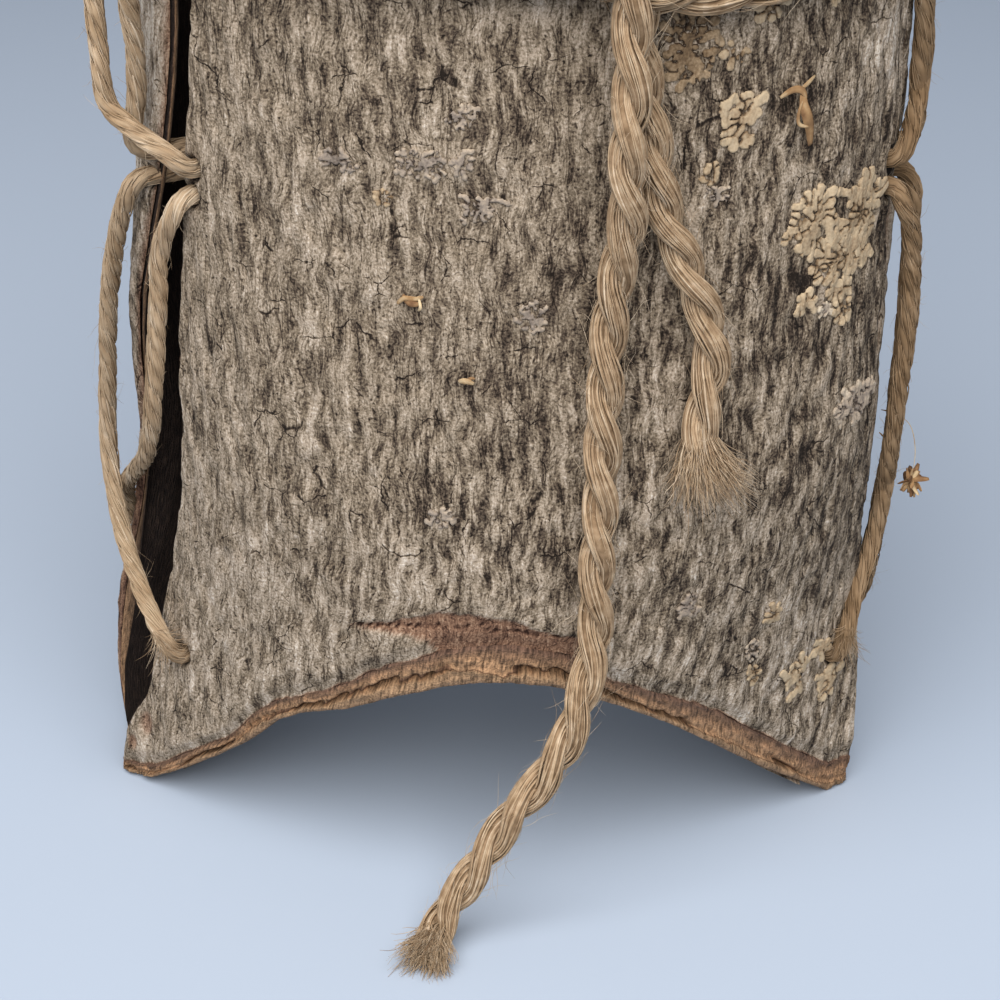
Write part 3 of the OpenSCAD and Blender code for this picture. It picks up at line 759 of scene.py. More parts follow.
lash_route = [(RIM_START, HOOP_LOW + 3, LASH_IN - 0.2)] + back_in(RIM_START)
for i in range(RIM_TURNS - 1):
    lash_route += stitch(RIM_START + i*RIM_STEP, RIM_START + (i + 1)*RIM_STEP)
lash_route += stitch(RIM_START + (RIM_TURNS - 1)*RIM_STEP, RIM_START + 360 - 6)[:9]
rng = np.random.default_rng(31)
lash_line, lash_at = evenly(curve([ring(*q) for q in lash_route], 4), 1.26)
lash_groups = lay_up(lash_line, lash_at, LASHING, LACE_LAY, 10, rng, fibre=0.22, sides=3, shaded_core_tone=0.3)
lash_groups.append(hairs(lash_line, LASHING, 700, rng, long=(1, 3), stand=0.7, fine=0.032))
lashing = fibres("rim_lashing_twine", lash_groups, twine_jute)
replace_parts(lashing, "rim_lashing")

# %% [markdown]
# ## Bark materials
# Weathered bark is matt and never one colour: pale grey-beige ridges, darker upright streaks, fine grain
# and thin black cracks. The sheet's own UV map holds millimetres along and up the sheet, so each pattern
# gets its real size and runs up the wall like the fibres do. Large streaks come with the mesh, as an
# attribute, so that relief and colour agree.

# %% Bark patterns
def streaks(tree, sheet, wide, tall, detail, strength):
    """Noise stretched to wide by tall millimetres, swinging by strength about zero"""
    place = node(tree, "Mapping", {"Vector": sheet, "Scale": (1/(wide*MM), 1/(tall*MM), 1)})
    grain = node(tree, "TexNoise", {"Vector": place.outputs[0], "Scale": 1.0, "Detail": detail,
                                    "Roughness": 0.62})
    return node(tree, "MapRange", {"Value": grain.outputs["Fac"], "From Min": 0.3, "From Max": 0.7,
                                   "To Min": -strength, "To Max": strength}, clamp=False).outputs[0]


# %% Outer bark material
# dead bark is dry cork: the eye gets pale worn ridges over brown-black furrows, with hardly any shine
BARK_STOPS = [(0.0, "#1f1812"), (0.2, "#463a30"), (0.4, "#6e604f"), (0.6, "#948471"), (0.8, "#b2a18f"),
              (1.0, "#d0c4b4")]
# where the grey skin is torn off, the cork under it is red-brown
RAW_STOPS = [(0.0, "#2b1a12"), (0.3, "#5c4234"), (0.55, "#81614c"), (0.8, "#a98a70")]
# wide, tall, detail and strength of each grain in mm; the finest is drawn a little coarser than real
BARK_GRAIN = [(0.27, 0.7, 2.0, 0.15), (0.32, 0.36, 1.0, 0.14), (0.62, 3.2, 2.0, 0.11),
              (3.2, 16.0, 3.0, 0.1)]
RIDGE, BROAD_RIDGE, HAIRLINE = (1.3, 5.0, 4.0, 0.5), (9.0, 14.0, 2.0, 0.16), (2.2, 17.0, 2.0, 0.5)
# sizes of the other patterns in mm, and how far two of them push the sheet's coordinates, in metres
SWAY_MM, SPECK_MM, WARP_MM, CRACK_CELL_MM, PATCH_MM = 6.0, 0.55, 2.2, 5.5, 5.0
SWAY_BY, WARP_BY = (0.0022, 0.0008, 0), (0.0022, 0.0022, 0)
outer_bark, tree = new_material("grey furrowed bark")
sheet = node(tree, "UVMap", uv_map="sheet").outputs[0]
light, cut, deep = [node(tree, "Attribute", attribute_name=name).outputs["Fac"]
                    for name in ("light", "cut", "deep")]
sway = node(tree, "TexNoise", {"Vector": sheet, "Scale": 1/(SWAY_MM*MM), "Detail": 1.0})
swayed = node(tree, "VectorMath", {0: sway.outputs["Color"], 1: SWAY_BY, 2: sheet},
              operation="MULTIPLY_ADD").outputs[0]
grain = add(tree, *[streaks(tree, swayed, *g) for g in BARK_GRAIN])
ridge = add(tree, streaks(tree, swayed, *RIDGE), streaks(tree, sheet, *BROAD_RIDGE))
furrow = node(tree, "MapRange", {"Value": ridge, "From Min": -0.52, "From Max": 0.36,
                                 "To Min": -0.3, "To Max": 0.09}, interpolation_type="SMOOTHSTEP")
furrow = node(tree, "Math", {0: furrow.outputs[0], 1: deep}, operation="MULTIPLY")
nearly = node(tree, "Math", {0: streaks(tree, swayed, *HAIRLINE)}, operation="ABSOLUTE")
hair = node(tree, "MapRange", {"Value": nearly.outputs[0], "From Min": 0.006, "From Max": 0.04,
                               "To Min": -0.22, "To Max": 0.0})
specks = node(tree, "TexNoise", {"Vector": swayed, "Scale": 1/(SPECK_MM*MM), "Detail": 2.0})
pitted = node(tree, "MapRange", {"Value": specks.outputs["Fac"], "From Min": 0.58, "From Max": 0.72,
                                 "To Min": 0.0, "To Max": -0.3})
warp = node(tree, "TexNoise", {"Vector": sheet, "Scale": 1/(WARP_MM*MM), "Detail": 3.0})
moved = node(tree, "VectorMath", {0: warp.outputs["Color"], 1: WARP_BY, 2: sheet}, operation="MULTIPLY_ADD")
cells = node(tree, "TexVoronoi", {"Vector": moved.outputs[0], "Scale": 1/(CRACK_CELL_MM*MM)},
             feature="DISTANCE_TO_EDGE")
crack = node(tree, "MapRange", {"Value": cells.outputs["Distance"], "From Min": 0.005, "From Max": 0.017,
                                "To Min": 1.0, "To Max": 0.0})
patch = node(tree, "TexNoise", {"Vector": sheet, "Scale": 1/(PATCH_MM*MM), "Detail": 2.0})
where = node(tree, "MapRange", {"Value": patch.outputs["Fac"], "From Min": 0.55, "From Max": 0.6,
                                "To Min": 0.0, "To Max": -0.48})
black = node(tree, "Math", {0: crack.outputs[0], 1: where.outputs[0]}, operation="MULTIPLY")
tone = add(tree, light, grain, furrow.outputs[0], hair.outputs[0], pitted.outputs[0], black.outputs[0])
grey = node(tree, "ValToRGB", {"Fac": tone}, stops=BARK_STOPS)
raw = node(tree, "ValToRGB", {"Fac": add(tree, tone, -0.06)}, stops=RAW_STOPS)
both = node(tree, "Mix", {0: cut, 6: grey.outputs[0], 7: raw.outputs[0]}, data_type="RGBA")
bump = node(tree, "Bump", {"Height": tone, "Strength": 0.6, "Distance": 0.3*MM})
surface(outer_bark, {"Base Color": both.outputs[2], "Roughness": 0.92, "Specular IOR Level": 0.15,
                     "Normal": bump.outputs[0]})

# %% Inner bark material
# inner bark is raw plant fibre: dull, dark brown on its face, tan with a split where a fold tore it
# the band's stops are darker at its lip, in its split and at its upper step: painted shade
SHADED_BAND_STOPS = [(0.0, "#866648"), (0.06, "#a08063"), (0.3, "#9b7c5e"), (0.37, "#866447"), (0.42, "#4a3222"),
              (0.47, "#80604a"), (0.54, "#b08a67"), (0.74, "#a98262"), (0.86, "#86674f"), (1.0, "#6d5344")]
# the face's stops are darker still, near black: painted shade inside the basket
SHADED_FACE_STOPS = [(0.0, "#17110f"), (0.35, "#231a16"), (0.65, "#2f241e"), (1.0, "#40332a")]
# wide, tall, detail and strength of the fibres in mm
FIBRE_GRAIN = [(0.3, 2.2, 1.0, 0.38), (0.28, 0.3, 1.0, 0.2), (0.9, 5.0, 3.0, 0.15)]
inner_material, tree = new_material("folded inner bark")
sheet = node(tree, "UVMap", uv_map="sheet").outputs[0]
band, raw = [node(tree, "Attribute", attribute_name=name).outputs["Fac"] for name in ("band", "raw")]
fibre = add(tree, *[streaks(tree, sheet, *g) for g in FIBRE_GRAIN])
face = node(tree, "ValToRGB", {"Fac": add(tree, fibre, 0.5)}, stops=SHADED_FACE_STOPS)
strip = node(tree, "ValToRGB", {"Fac": band}, stops=SHADED_BAND_STOPS)
dark = node(tree, "MapRange", {"Value": fibre, "From Min": -0.45, "From Max": 0.35,
                               "To Min": 0.3, "To Max": 1.15})
worn = node(tree, "VectorMath", {0: strip.outputs[0], "Scale": dark.outputs[0]}, operation="SCALE")
both = node(tree, "Mix", {0: raw, 6: face.outputs[0], 7: worn.outputs[0]}, data_type="RGBA")
bump = node(tree, "Bump", {"Height": fibre, "Strength": 0.8, "Distance": 0.3*MM})
surface(inner_material, {"Base Color": both.outputs[2], "Roughness": 0.88, "Specular IOR Level": 0.2,
                         "Normal": bump.outputs[0]})

# %% [markdown]
# ## Outer bark plates
# A plate is a grid that is thickened by an extrusion and then bent onto the wall by the sheet formulas.
# Displacing a picture would be quicker, but the plate keeps its real edge this way, and its relief is
# there from every side. Rows are closer together low down, where the plate is seen closely, and the
# hidden back keeps only every tenth row.

# %% Distance along the sheet
ARC_HALF, ARC_LEVELS = 130, 40
ARC_TURNS = np.linspace(-ARC_HALF, ARC_HALF, 2*ARC_HALF + 1)
arc_rows = []
for level in np.linspace(0, HEIGHT, ARC_LEVELS):
    lengths = np.linalg.norm(np.diff(plan(ARC_TURNS, np.full_like(ARC_TURNS, level)), axis=0), axis=1)
    row = np.concatenate([[0], np.cumsum(lengths)])
    arc_rows.append(row - row[ARC_HALF])
ARC_TABLE = np.array(arc_rows)
print("wall is", round(ARC_TABLE[0, -1] - ARC_TABLE[0, 0]), "mm long at the floor, past both edges")


def arc(a, z):
    """Millimetres along the wall from the middle of its panel, at turn a and height z"""
    fz = np.clip(np.asarray(z, float)/HEIGHT*(ARC_LEVELS - 1), 0, ARC_LEVELS - 1.001)
    fa = np.clip(np.asarray(a, float) + ARC_HALF, 0, 2*ARC_HALF - 0.001)
    iz, ia = fz.astype(int), fa.astype(int)
    kz, ka = fz - iz, fa - ia
    lower = mix(ARC_TABLE[iz, ia], ARC_TABLE[iz, ia + 1], ka)
    upper = mix(ARC_TABLE[iz + 1, ia], ARC_TABLE[iz + 1, ia + 1], ka)
    return mix(lower, upper, kz)


# %% Thick grids
def thick_grid(columns, rows, keep_rows=1):
    """A thick grid: x and y run from 0 to 1 over the sheet, and z is 0 at the back and 1 in front"""
    bm = bmesh.new()
    bmesh.ops.create_grid(bm, x_segments=columns, y_segments=rows, size=0.5)
    bmesh.ops.translate(bm, verts=bm.verts, vec=(0.5, 0.5, 0))
    made = bmesh.ops.extrude_face_region(bm, geom=bm.faces[:], use_keep_orig=True)
    front = [g for g in made["geom"] if isinstance(g, bmesh.types.BMVert)]
    bmesh.ops.translate(bm, verts=front, vec=(0, 0, 1))
    bmesh.ops.recalc_face_normals(bm, faces=bm.faces)
    spare = []
    for e in bm.edges:
        a, b = e.verts[0].co, e.verts[1].co
        if a.z == 0 and b.z == 0 and abs(a.y - b.y) < 1e-6 and round(a.y*rows) % keep_rows:
            spare.append(e)
        flat = [abs(f.normal.z) > 0.5 for f in e.link_faces]
        e.smooth = all(flat) or not any(flat)
    if keep_rows > 1:
        bmesh.ops.dissolve_edges(bm, edges=spare, use_verts=True)
    mesh = as_mesh(bm, "sheet")
    return mesh, read_places(mesh).astype(float).T


def settle(mesh, places, along, height):
    """Moves a grid to its places in mm, writes the sheet's UV map and turns the faces outwards"""
    set_places(mesh, places)
    corner = np.empty(len(mesh.loops), np.int32)
    mesh.loops.foreach_get("vertex_index", corner)
    uv = (np.stack([along, height], -1)*MM)[corner]
    mesh.uv_layers.new(name="sheet").data.foreach_set("uv", uv.astype(np.float32).ravel())
    bm = bmesh.new()
    bm.from_mesh(mesh)
    if bm.calc_volume(signed=True) < 0:
        bmesh.ops.reverse_faces(bm, faces=bm.faces)
        bm.to_mesh(mesh)
    bm.free()


# %% Bark relief
# along the wall and height: upper and lower edge of the long scar, and the row of pores along it
SCAR_TOP = ([-22, -15.2, -9.5, -3.8, 1.4, 6.2, 12], [43.4, 45.5, 47.5, 47.5, 46.5, 44.5, 43.2])
SCAR_LOW = ([-22, -15.2, -10.5, -8, 12], [43.0, 42.8, 42.2, 38, 38])
PORE_LINE = ([-21, -15, -9.5, -3.8, 1.4, 6.2, 11], [43.6, 44.3, 45.0, 45.0, 44.6, 43.9, 43.8])
PORE_GAP = 1.35
# along the wall, height and half width of small bare spots
BARE_SPOTS = [(-57.6, 11.5, 0.9), (-60.4, 7.0, 0.6)]
# along the wall, height, half width and half height of soft places on the front wall
MIDDLE, LOW_MIDDLE, BLEACHED, DEEP_MIDDLE = (6, 95, 11, 24), (3, 62, 9, 9), (54, 122, 6, 7), (2, 60, 17, 11)


def within(u, line):
    return (u > line[0][0]) & (u < line[0][-1])


def scar(u, z):
    """1 where the grey skin is torn off, along the scar and at the bare spots"""
    rough = 0.5*(noise(u/1.1, z/3, 71) - 0.5)
    inside = np.minimum(np.interp(u, *SCAR_TOP) + rough - z, z - np.interp(u, *SCAR_LOW) - rough)
    bare = np.where(within(u, SCAR_TOP), smooth(inside/0.5), 0)
    for spot_u, spot_z, half in BARE_SPOTS:
        bare = np.maximum(bare, 0.8*smooth(2 - np.hypot(u - spot_u, (z - spot_z)*0.7)/half))
    return bare


def pore_row(u, z):
    """Dark pores in a row along the scar"""
    nearest = np.round(u/PORE_GAP)*PORE_GAP
    size = 0.35 + 0.35*lattice(np.round(u/PORE_GAP), 0*u, 77)
    far = np.hypot(u - nearest, (z - np.interp(u, *PORE_LINE))*1.3)
    return np.where(within(u, PORE_LINE), 1 - smooth(far/size), 0)


def furrows(u, z, seed):
    """1 in the upright furrows, 0 on the ridges"""
    bend = 2.2*(fractal(u/9, z/12, seed + 40, 3) - 0.5)
    flame = fractal((u + bend)/1.5, z/6.0, seed, 4)
    broad = fractal(u/16, z/26, seed + 9, 3)
    return step(0.56, 0.33, flame + 0.2*(broad - 0.5))


def bark_relief(u, z, seed):
    """Height of the bark's skin in millimetres, about its even surface"""
    low_and_fine = 0.7*(fractal(u/15, z/24, seed + 1, 3) - 0.5) + 0.26*(noise(u/0.8, z/2.4, seed + 2) - 0.5)
    return low_and_fine - 0.38*furrows(u, z, seed)


def soft_place(u, z, place):
    at_u, at_z, wide, tall = place
    return np.exp(-((u - at_u)/wide)**2 - ((z - at_z)/tall)**2)


def front_shade(u, z):
    """Soft darker places of the front wall: to the right, and in the middle above the arch"""
    # darker to the right: partly darker bark, partly painted shade
    right = 0.11*step(12, 40, u)*(1 - 0.8*step(60, 30, z))
    top_left = step(96, 125, z)*step(10, -10, u)
    shade = right + 0.16*soft_place(u, z, MIDDLE) + 0.03*soft_place(u, z, LOW_MIDDLE) + 0.04*top_left
    return shade + 0.065*step(40, 70, z) - 0.42*soft_place(u, z, BLEACHED) - 0.03*step(40, 52, -u)


def front_depth(u, z):
    """How strong the dark furrows are: deepest above the middle of the arch and to the right"""
    return 1 + 0.4*step(0, 30, u) + 0.6*soft_place(u, z, DEEP_MIDDLE) - 0.15*step(25, 50, -u)


# %% Bark plates
SIDE_TRIM, RIM_TRIM, BARK_LIGHT = 0.006, 0.6, 0.655
FRONT_SEED, REAR_SEED = 101, 201
# these shares of the rows lie below these shares of the height
ROW_SHARE, ROW_HEIGHT = [0, 0.8, 1], [0, 0.69, 1]


def lace_holes(panel, u, z):
    """1 in the holes of the lacing, fading out round them"""
    hole = 0*u
    for side in (LEFT, RIGHT):
        for level in (LACE_LOW, LACE_DOWN, LACE_UP, LACE_TOP):
            far = np.hypot(u - arc(lace_turn(side, panel, level), level), z - level)
            hole = np.maximum(hole, 1 - smooth((far - 1.0)/1.4))
    return hole


def bark_plate(name, node_name, panel, columns, rows, seed):
    mesh, (x, y, front) = thick_grid(columns, rows, 10)
    t = mix(SIDE_TRIM, 1 - SIDE_TRIM, x)
    ragged = 1.5*(fractal((t - 0.5)*STRIP_WIDTH/1.7, 0*t, seed + 60, 3) - 0.5)
    bare = front_score(t) + front_lift(t) if panel == FRONT else score(t)
    z_low = fold_height(t) + bare + ragged*np.sin(np.pi*t)
    z = mix(z_low, HEIGHT - RIM_TRIM, np.interp(y, ROW_SHARE, ROW_HEIGHT))
    edge = 1 - smooth(np.minimum(t, 1 - t)/0.015)
    frayed = 1.2*edge*(fractal(z/5, 0*z, seed + 61, 3) - 0.5)
    a = turn(panel, t if panel == FRONT else 1 - t, z) + frayed
    u = arc(a, z)
    if panel == FRONT:
        brown, pores, shade, deep = scar(u, z), pore_row(u, z), front_shade(u, z), front_depth(u, z)
        end_cut = step(70, 76, z)*(1 - step(92, 98, z))
    else:
        brown, pores, deep = 0*u, 0*u, 1.2 + 0*u
        shade = 0.05 - step(40, 60, u)*(0.05 + 0.16*step(75, 110, z))
        end_cut = 1 - step(45, 75, z)
    relief, hole = bark_relief(u, z, seed), lace_holes(panel, u, z)
    thin = 0.8*(1 - smooth((z - z_low)/3.5)) + 0.5*edge
    out = np.where(front > 0.5, SKIN_OUT + relief - thin - 0.5*brown - 1.2*hole, BOND)
    settle(mesh, skin(panel, a, z, np.maximum(out - 0.6*pores, BOND)), u + (1 - front)*OUTER_THICK, z)
    broad = 0.12*(fractal(u/22, z/30, seed + 5, 2) - 0.5)
    dark = 0.07*furrows(u, z, seed)
    set_values(mesh, "light", BARK_LIGHT - dark - shade - 0.6*hole + broad - 0.8*pores)
    torn = np.maximum(1 - smooth((z - z_low)/0.5), end_cut*(np.minimum(x, 1 - x) < 1e-4))
    set_values(mesh, "cut", np.where(front > 0.5, np.maximum(brown, torn), 1))
    set_values(mesh, "deep", deep*(1 - 0.6*brown))
    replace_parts(finish_piece(name, mesh, outer_bark), node_name)


bark_plate("front_bark_plate", "outer_bark_front", FRONT, 250, 330, FRONT_SEED)
bark_plate("rear_bark_plate", "outer_bark_rear", REAR, 170, 200, REAR_SEED)

# %% [markdown]
# ## Inner bark
# One sheet runs down the front, under the base and up the rear. Its grid has the same three stretches,
# with close rows where the outer bark is cut away along the folds, because that torn band is what shows.
# The band's outline, from its lower lip over a dark split to its upper step, is a short list of shares of
# its width and distances out.

# %% Inner bark
BAND_SHARE = [0, 0.05, 0.15, 0.28, 0.36, 0.41, 0.46, 0.5, 0.65, 0.85, 1.0, 1.03, 1.2]
BAND_OUT = [-0.5, 0.3, 0.75, 0.8, 0.65, 0.35, 0.38, 0.5, 0.75, 1.0, 1.1, 0.05, 0]
BAND_ROWS, WALL_ROWS, BASE_ROWS, BAND_REACH = 32, 24, 14, 1.2
# width of the flutes in the torn band, and the share of the band where its split lies
FLUTE, SPLIT_AT = 0.75, 0.34
# share of the thickness that is pared off the rear wall's end at the left seam, and over which heights
SEAM_THIN, SEAM_THIN_SPAN = 0.85, (20, 46)
# length of the base from fold to fold on the sheet's UV map
BASE_RUN = 60


def inner_sheet(columns):
    side_rows = BAND_ROWS + WALL_ROWS
    rows = 2*side_rows + BASE_ROWS
    mesh, (t, y, front) = thick_grid(columns, rows)
    r = np.rint(y*rows)
    from_fold = np.maximum(side_rows - r, np.maximum(r - side_rows - BASE_ROWS, 0))
    in_band = np.minimum(from_fold/BAND_ROWS, 1)*BAND_REACH
    across = np.clip((r - side_rows)/BASE_ROWS, 0, 1)
    fold = fold_height(t) + front_lift(t)*(1 - across)
    above = fold + in_band*np.where(r <= side_rows, front_score(t), score(t))
    z_out = mix(above, HEIGHT, np.maximum(from_fold - BAND_ROWS, 0)/WALL_ROWS)
    inner = front < 0.5
    z = np.where(inner, mix(fold + INNER_THICK, HEIGHT, (z_out - fold)/(HEIGHT - fold)), z_out)
    band = np.where((in_band < BAND_REACH) & ~inner, in_band, BAND_REACH)
    flat_u = (t - 0.5)*STRIP_WIDTH
    split = step(0.45, 0.6, fractal(flat_u/9, 0*t, 304, 2)) + step(-34, -22, flat_u)*step(18, 10, flat_u)
    split = np.clip(split, 0, 1)*step(2.0, 5.0, np.abs(flat_u + 2.5))
    middle = np.clip(np.sin(np.pi*np.clip(band, 0, 1)), 0, 1)
    wander = middle*(0.34*(fractal(flat_u/5, 0*t, 305, 3) - 0.5) + 0.12*(noise(flat_u/0.8, 0*t, 306) - 0.5))
    wander = wander + 0.15*middle*step(10, 20, flat_u)
    layer = np.where(band < 1, np.clip(band + wander, 0, 1), band)
    flutes = noise(flat_u/FLUTE, band*1.5, 307)
    pits = split*step(0.3, 0.42, layer)*step(0.62, 0.46, layer)*step(0.35, 0.65, flutes)
    rough = 0.5*(noise(flat_u/0.6, band*9, 301) - 0.5) + 0.6*(noise(flat_u/1.6, band*5, 302) - 0.5)
    fluted = 0.45*(flutes - 0.5)*step(0.35, 0.55, layer)*step(0.95, 0.75, layer)
    out = np.interp(layer, BAND_SHARE, BAND_OUT) + (rough + fluted)*step(1.15, 1.0, band) - 1.1*pits
    away_from_end = np.minimum(t, 1 - t)
    thinned = 1 - SEAM_THIN*(across == 1)*grow(z, SEAM_THIN_SPAN)*step(0.07, 0.01, t)
    out = np.where(inner, -INNER_THICK*thinned, out*step(0, 0.03, away_from_end))
    walls = [skin(FRONT, turn(FRONT, t, z), z, out), skin(REAR, turn(REAR, 1 - t, z), z, out)]
    places = mix(walls[0], walls[1], across[:, None])
    settle(mesh, places, flat_u - inner*INNER_THICK, z_out + BASE_RUN*across)
    # only where the band splits does its tone pass the dark stops: painted shade in the split
    past = layer - SPLIT_AT
    plain = np.where(layer < SPLIT_AT, layer, SPLIT_AT + np.abs(past) + 0.25*(1 - smooth(past/0.3)))
    outer_band = mix(plain, layer - 0.06*pits, split)
    side = away_from_end < 1e-4
    set_values(mesh, "band", np.where(side, 0.58, np.where(inner, 0.3, outer_band)))
    set_values(mesh, "raw", np.where(side & ~inner, 0.9, np.where(inner, 0, step(1.2, 1.1, band))))
    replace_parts(finish_piece("folded_inner_bark", mesh, inner_material), "inner_bark")


inner_sheet(300)

# %% [markdown]
# ## Base plate and hoops
# The plate of outer bark under the base spans the two folds, so it is one more thick grid. The split-wood
# hoops have the right shape in the frame already, so those nodes stay and only get their finish.

# %% Base plate
BASE_REACH, BASE_INSET = 0.18, 0.09
mesh, (x, y, below) = thick_grid(90, 40)
t, w = mix(BASE_REACH, 1 - BASE_REACH, x), mix(BASE_INSET, 1 - BASE_INSET, y)
flat_u = (t - 0.5)*STRIP_WIDTH
rough = 0.5*(fractal(flat_u/2, w*24, 401, 3) - 0.5)
depth = np.where(below > 0.5, SKIN_OUT + rough, BOND)
edge_z = fold_height(t) + front_lift(t)*(1 - w) - depth
front_fold = skin(FRONT, turn(FRONT, t, edge_z), edge_z, depth)
rear_fold = skin(REAR, turn(REAR, 1 - t, edge_z), edge_z, depth)
settle(mesh, mix(front_fold, rear_fold, w[:, None]), flat_u, w*BASE_RUN + (1 - below)*OUTER_THICK)
set_values(mesh, "light", 0.6 + 0.6*rough)
set_values(mesh, "cut", 1 - below)
set_values(mesh, "deep", 1 + 0*below)
base_plate = finish_piece("base_bark_plate", mesh, outer_bark)
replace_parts(base_plate, "outer_bark_base")

# %% Split wood
# split ash is never sanded: the eye gets long tan and brown grain lines and a dry half gloss
GRAIN_LONG_MM, GRAIN_WIDE_MM = 9.0, 0.7
ASH_STOPS = [(0.3, "#7d5c3a"), (0.5, "#a98457"), (0.7, "#c5a577")]
split_wood, tree = new_material("split ash wood")
place = node(tree, "TexCoord").outputs["Object"]
along_grain, across_grain = 1/(GRAIN_LONG_MM*MM), 1/(GRAIN_WIDE_MM*MM)
long_grain = node(tree, "Mapping", {"Vector": place, "Scale": (along_grain, along_grain, across_grain)})
rings = node(tree, "TexNoise", {"Vector": long_grain.outputs[0], "Scale": 1.0, "Detail": 4.0,
                                "Roughness": 0.6})
colour = node(tree, "ValToRGB", {"Fac": rings.outputs["Fac"]}, stops=ASH_STOPS)
bump = node(tree, "Bump", {"Height": rings.outputs["Fac"], "Strength": 0.5, "Distance": 0.2*MM})
surface(split_wood, {"Base Color": colour.outputs[0], "Roughness": 0.7, "Normal": bump.outputs[0]})

for node_name in ("rim_hoop_inner", "rim_hoop_outer"):
    kept = bpy.data.objects[node_name]
    kept.data.materials.clear()
    kept.data.materials.append(split_wood)
    print("finish on", node_name)

# %% [markdown]
# ## Lichen
# Lichen spreads over the bark in flat rosettes whose lobes fork. Drawing the outline by hand would take
# hours, so lobes grow ring by ring from a middle, each joined to the nearest one further in, and a fine
# grid keeps only the faces inside a lobe. Thin slits stay open between branches. Crusts are the same
# plants with smaller, paler lobes.

# %% Lichen materials
# dry lichen is chalky and matt: the eye gets tan leafy lobes, creases with painted shade, and paler grey
# crusts
LEAFY_STOPS = [(0.0, "#392c22"), (0.35, "#725d46"), (0.65, "#988267"), (1.0, "#b6a184")]
CRUST_STOPS = [(0.0, "#4c4139"), (0.4, "#83766a"), (0.7, "#a3927f"), (1.0, "#bfb09a")]
LICHEN_DUST = dict(grit_mm=0.4, detail=2.0, low=0.3, swing=0.16, gloss=0.1)
leafy = toned_material("tan leafy lichen", LEAFY_STOPS, **LICHEN_DUST)
crust = toned_material("pale crust lichen", CRUST_STOPS, **LICHEN_DUST)


# %% Lichen growth
# size of the grid's cells, width of the slits, and how many lobes each further ring gains
LICHEN_CELL, LICHEN_SLIT, RING_LOBES = 0.17, 0.085, 5.4


def rosette(rng, wide, tall, lobe, bare):
    """Lobes in rings, each grown from the nearest lobe further in: places, their parents, branch numbers"""
    places, parents, branch, inside = [(0.0, 0.0)], [0], [0], [0]
    lean = rng.uniform(0, 6)
    rings = max(2, int(round(math.sqrt(wide*tall)/lobe)))
    for k in range(1, rings + 1):
        count = int(round(RING_LOBES*k))
        fresh, used = [], set()
        for i in range(count):
            w = 2*math.pi*(i + rng.uniform(-0.36, 0.36))/count + 0.7*k
            uneven = 1 + 0.16*math.sin(3*w + lean) + 0.12*math.sin(5*w - lean)
            far = (k/rings)*rng.uniform(0.9, 1.08)*uneven
            spot = np.array([wide*far*math.cos(w), tall*far*math.sin(w)])
            parent = min(inside, key=lambda j: float(np.hypot(*(spot - places[j]))))
            gap = float(np.hypot(*(spot - places[parent])))
            if gap > 2.0*lobe or rng.random() < bare*far:
                continue
            forked = parent in used and rng.random() < 0.85
            branch.append(len(places) if forked else branch[parent])
            used.add(parent)
            parents.append(parent)
            places.append(tuple(spot))
            fresh.append(len(places) - 1)
        inside = fresh or inside
    places = np.array(places)
    return places, places[parents], np.array(branch)


def depth_in(x, y, plant, size, lobe, seed):
    """How far inside a lobe a point lies, how far from an open slit, and which branch it is on"""
    places, parents, branch = plant
    span = places - parents
    from_parent = np.stack([x[:, None] - parents[:, 0], y[:, None] - parents[:, 1]], -1)
    along = np.clip((from_parent*span).sum(-1)/np.maximum((span**2).sum(-1), 1e-6), 0, 1)
    far = np.linalg.norm(from_parent - along[..., None]*span, axis=-1) - size*mix(0.7, 1, along)
    nearest = np.argmin(far, axis=1)
    first = far[np.arange(len(far)), nearest]
    other = np.where(branch[None] == branch[nearest][:, None], 99.0, far).min(axis=1)
    grown_together = step(0.5, 0.36, noise(x/(1.3*lobe), y/(1.3*lobe), seed))
    return -first, (other - first)/2 + grown_together, branch[nearest]


def on_front(u, z, out):
    """Place on the front wall at a distance along it from its middle"""
    level = np.full(len(ARC_TURNS), float(np.mean(z)))
    return skin(FRONT, np.interp(u, arc(ARC_TURNS, level), ARC_TURNS), z, out)


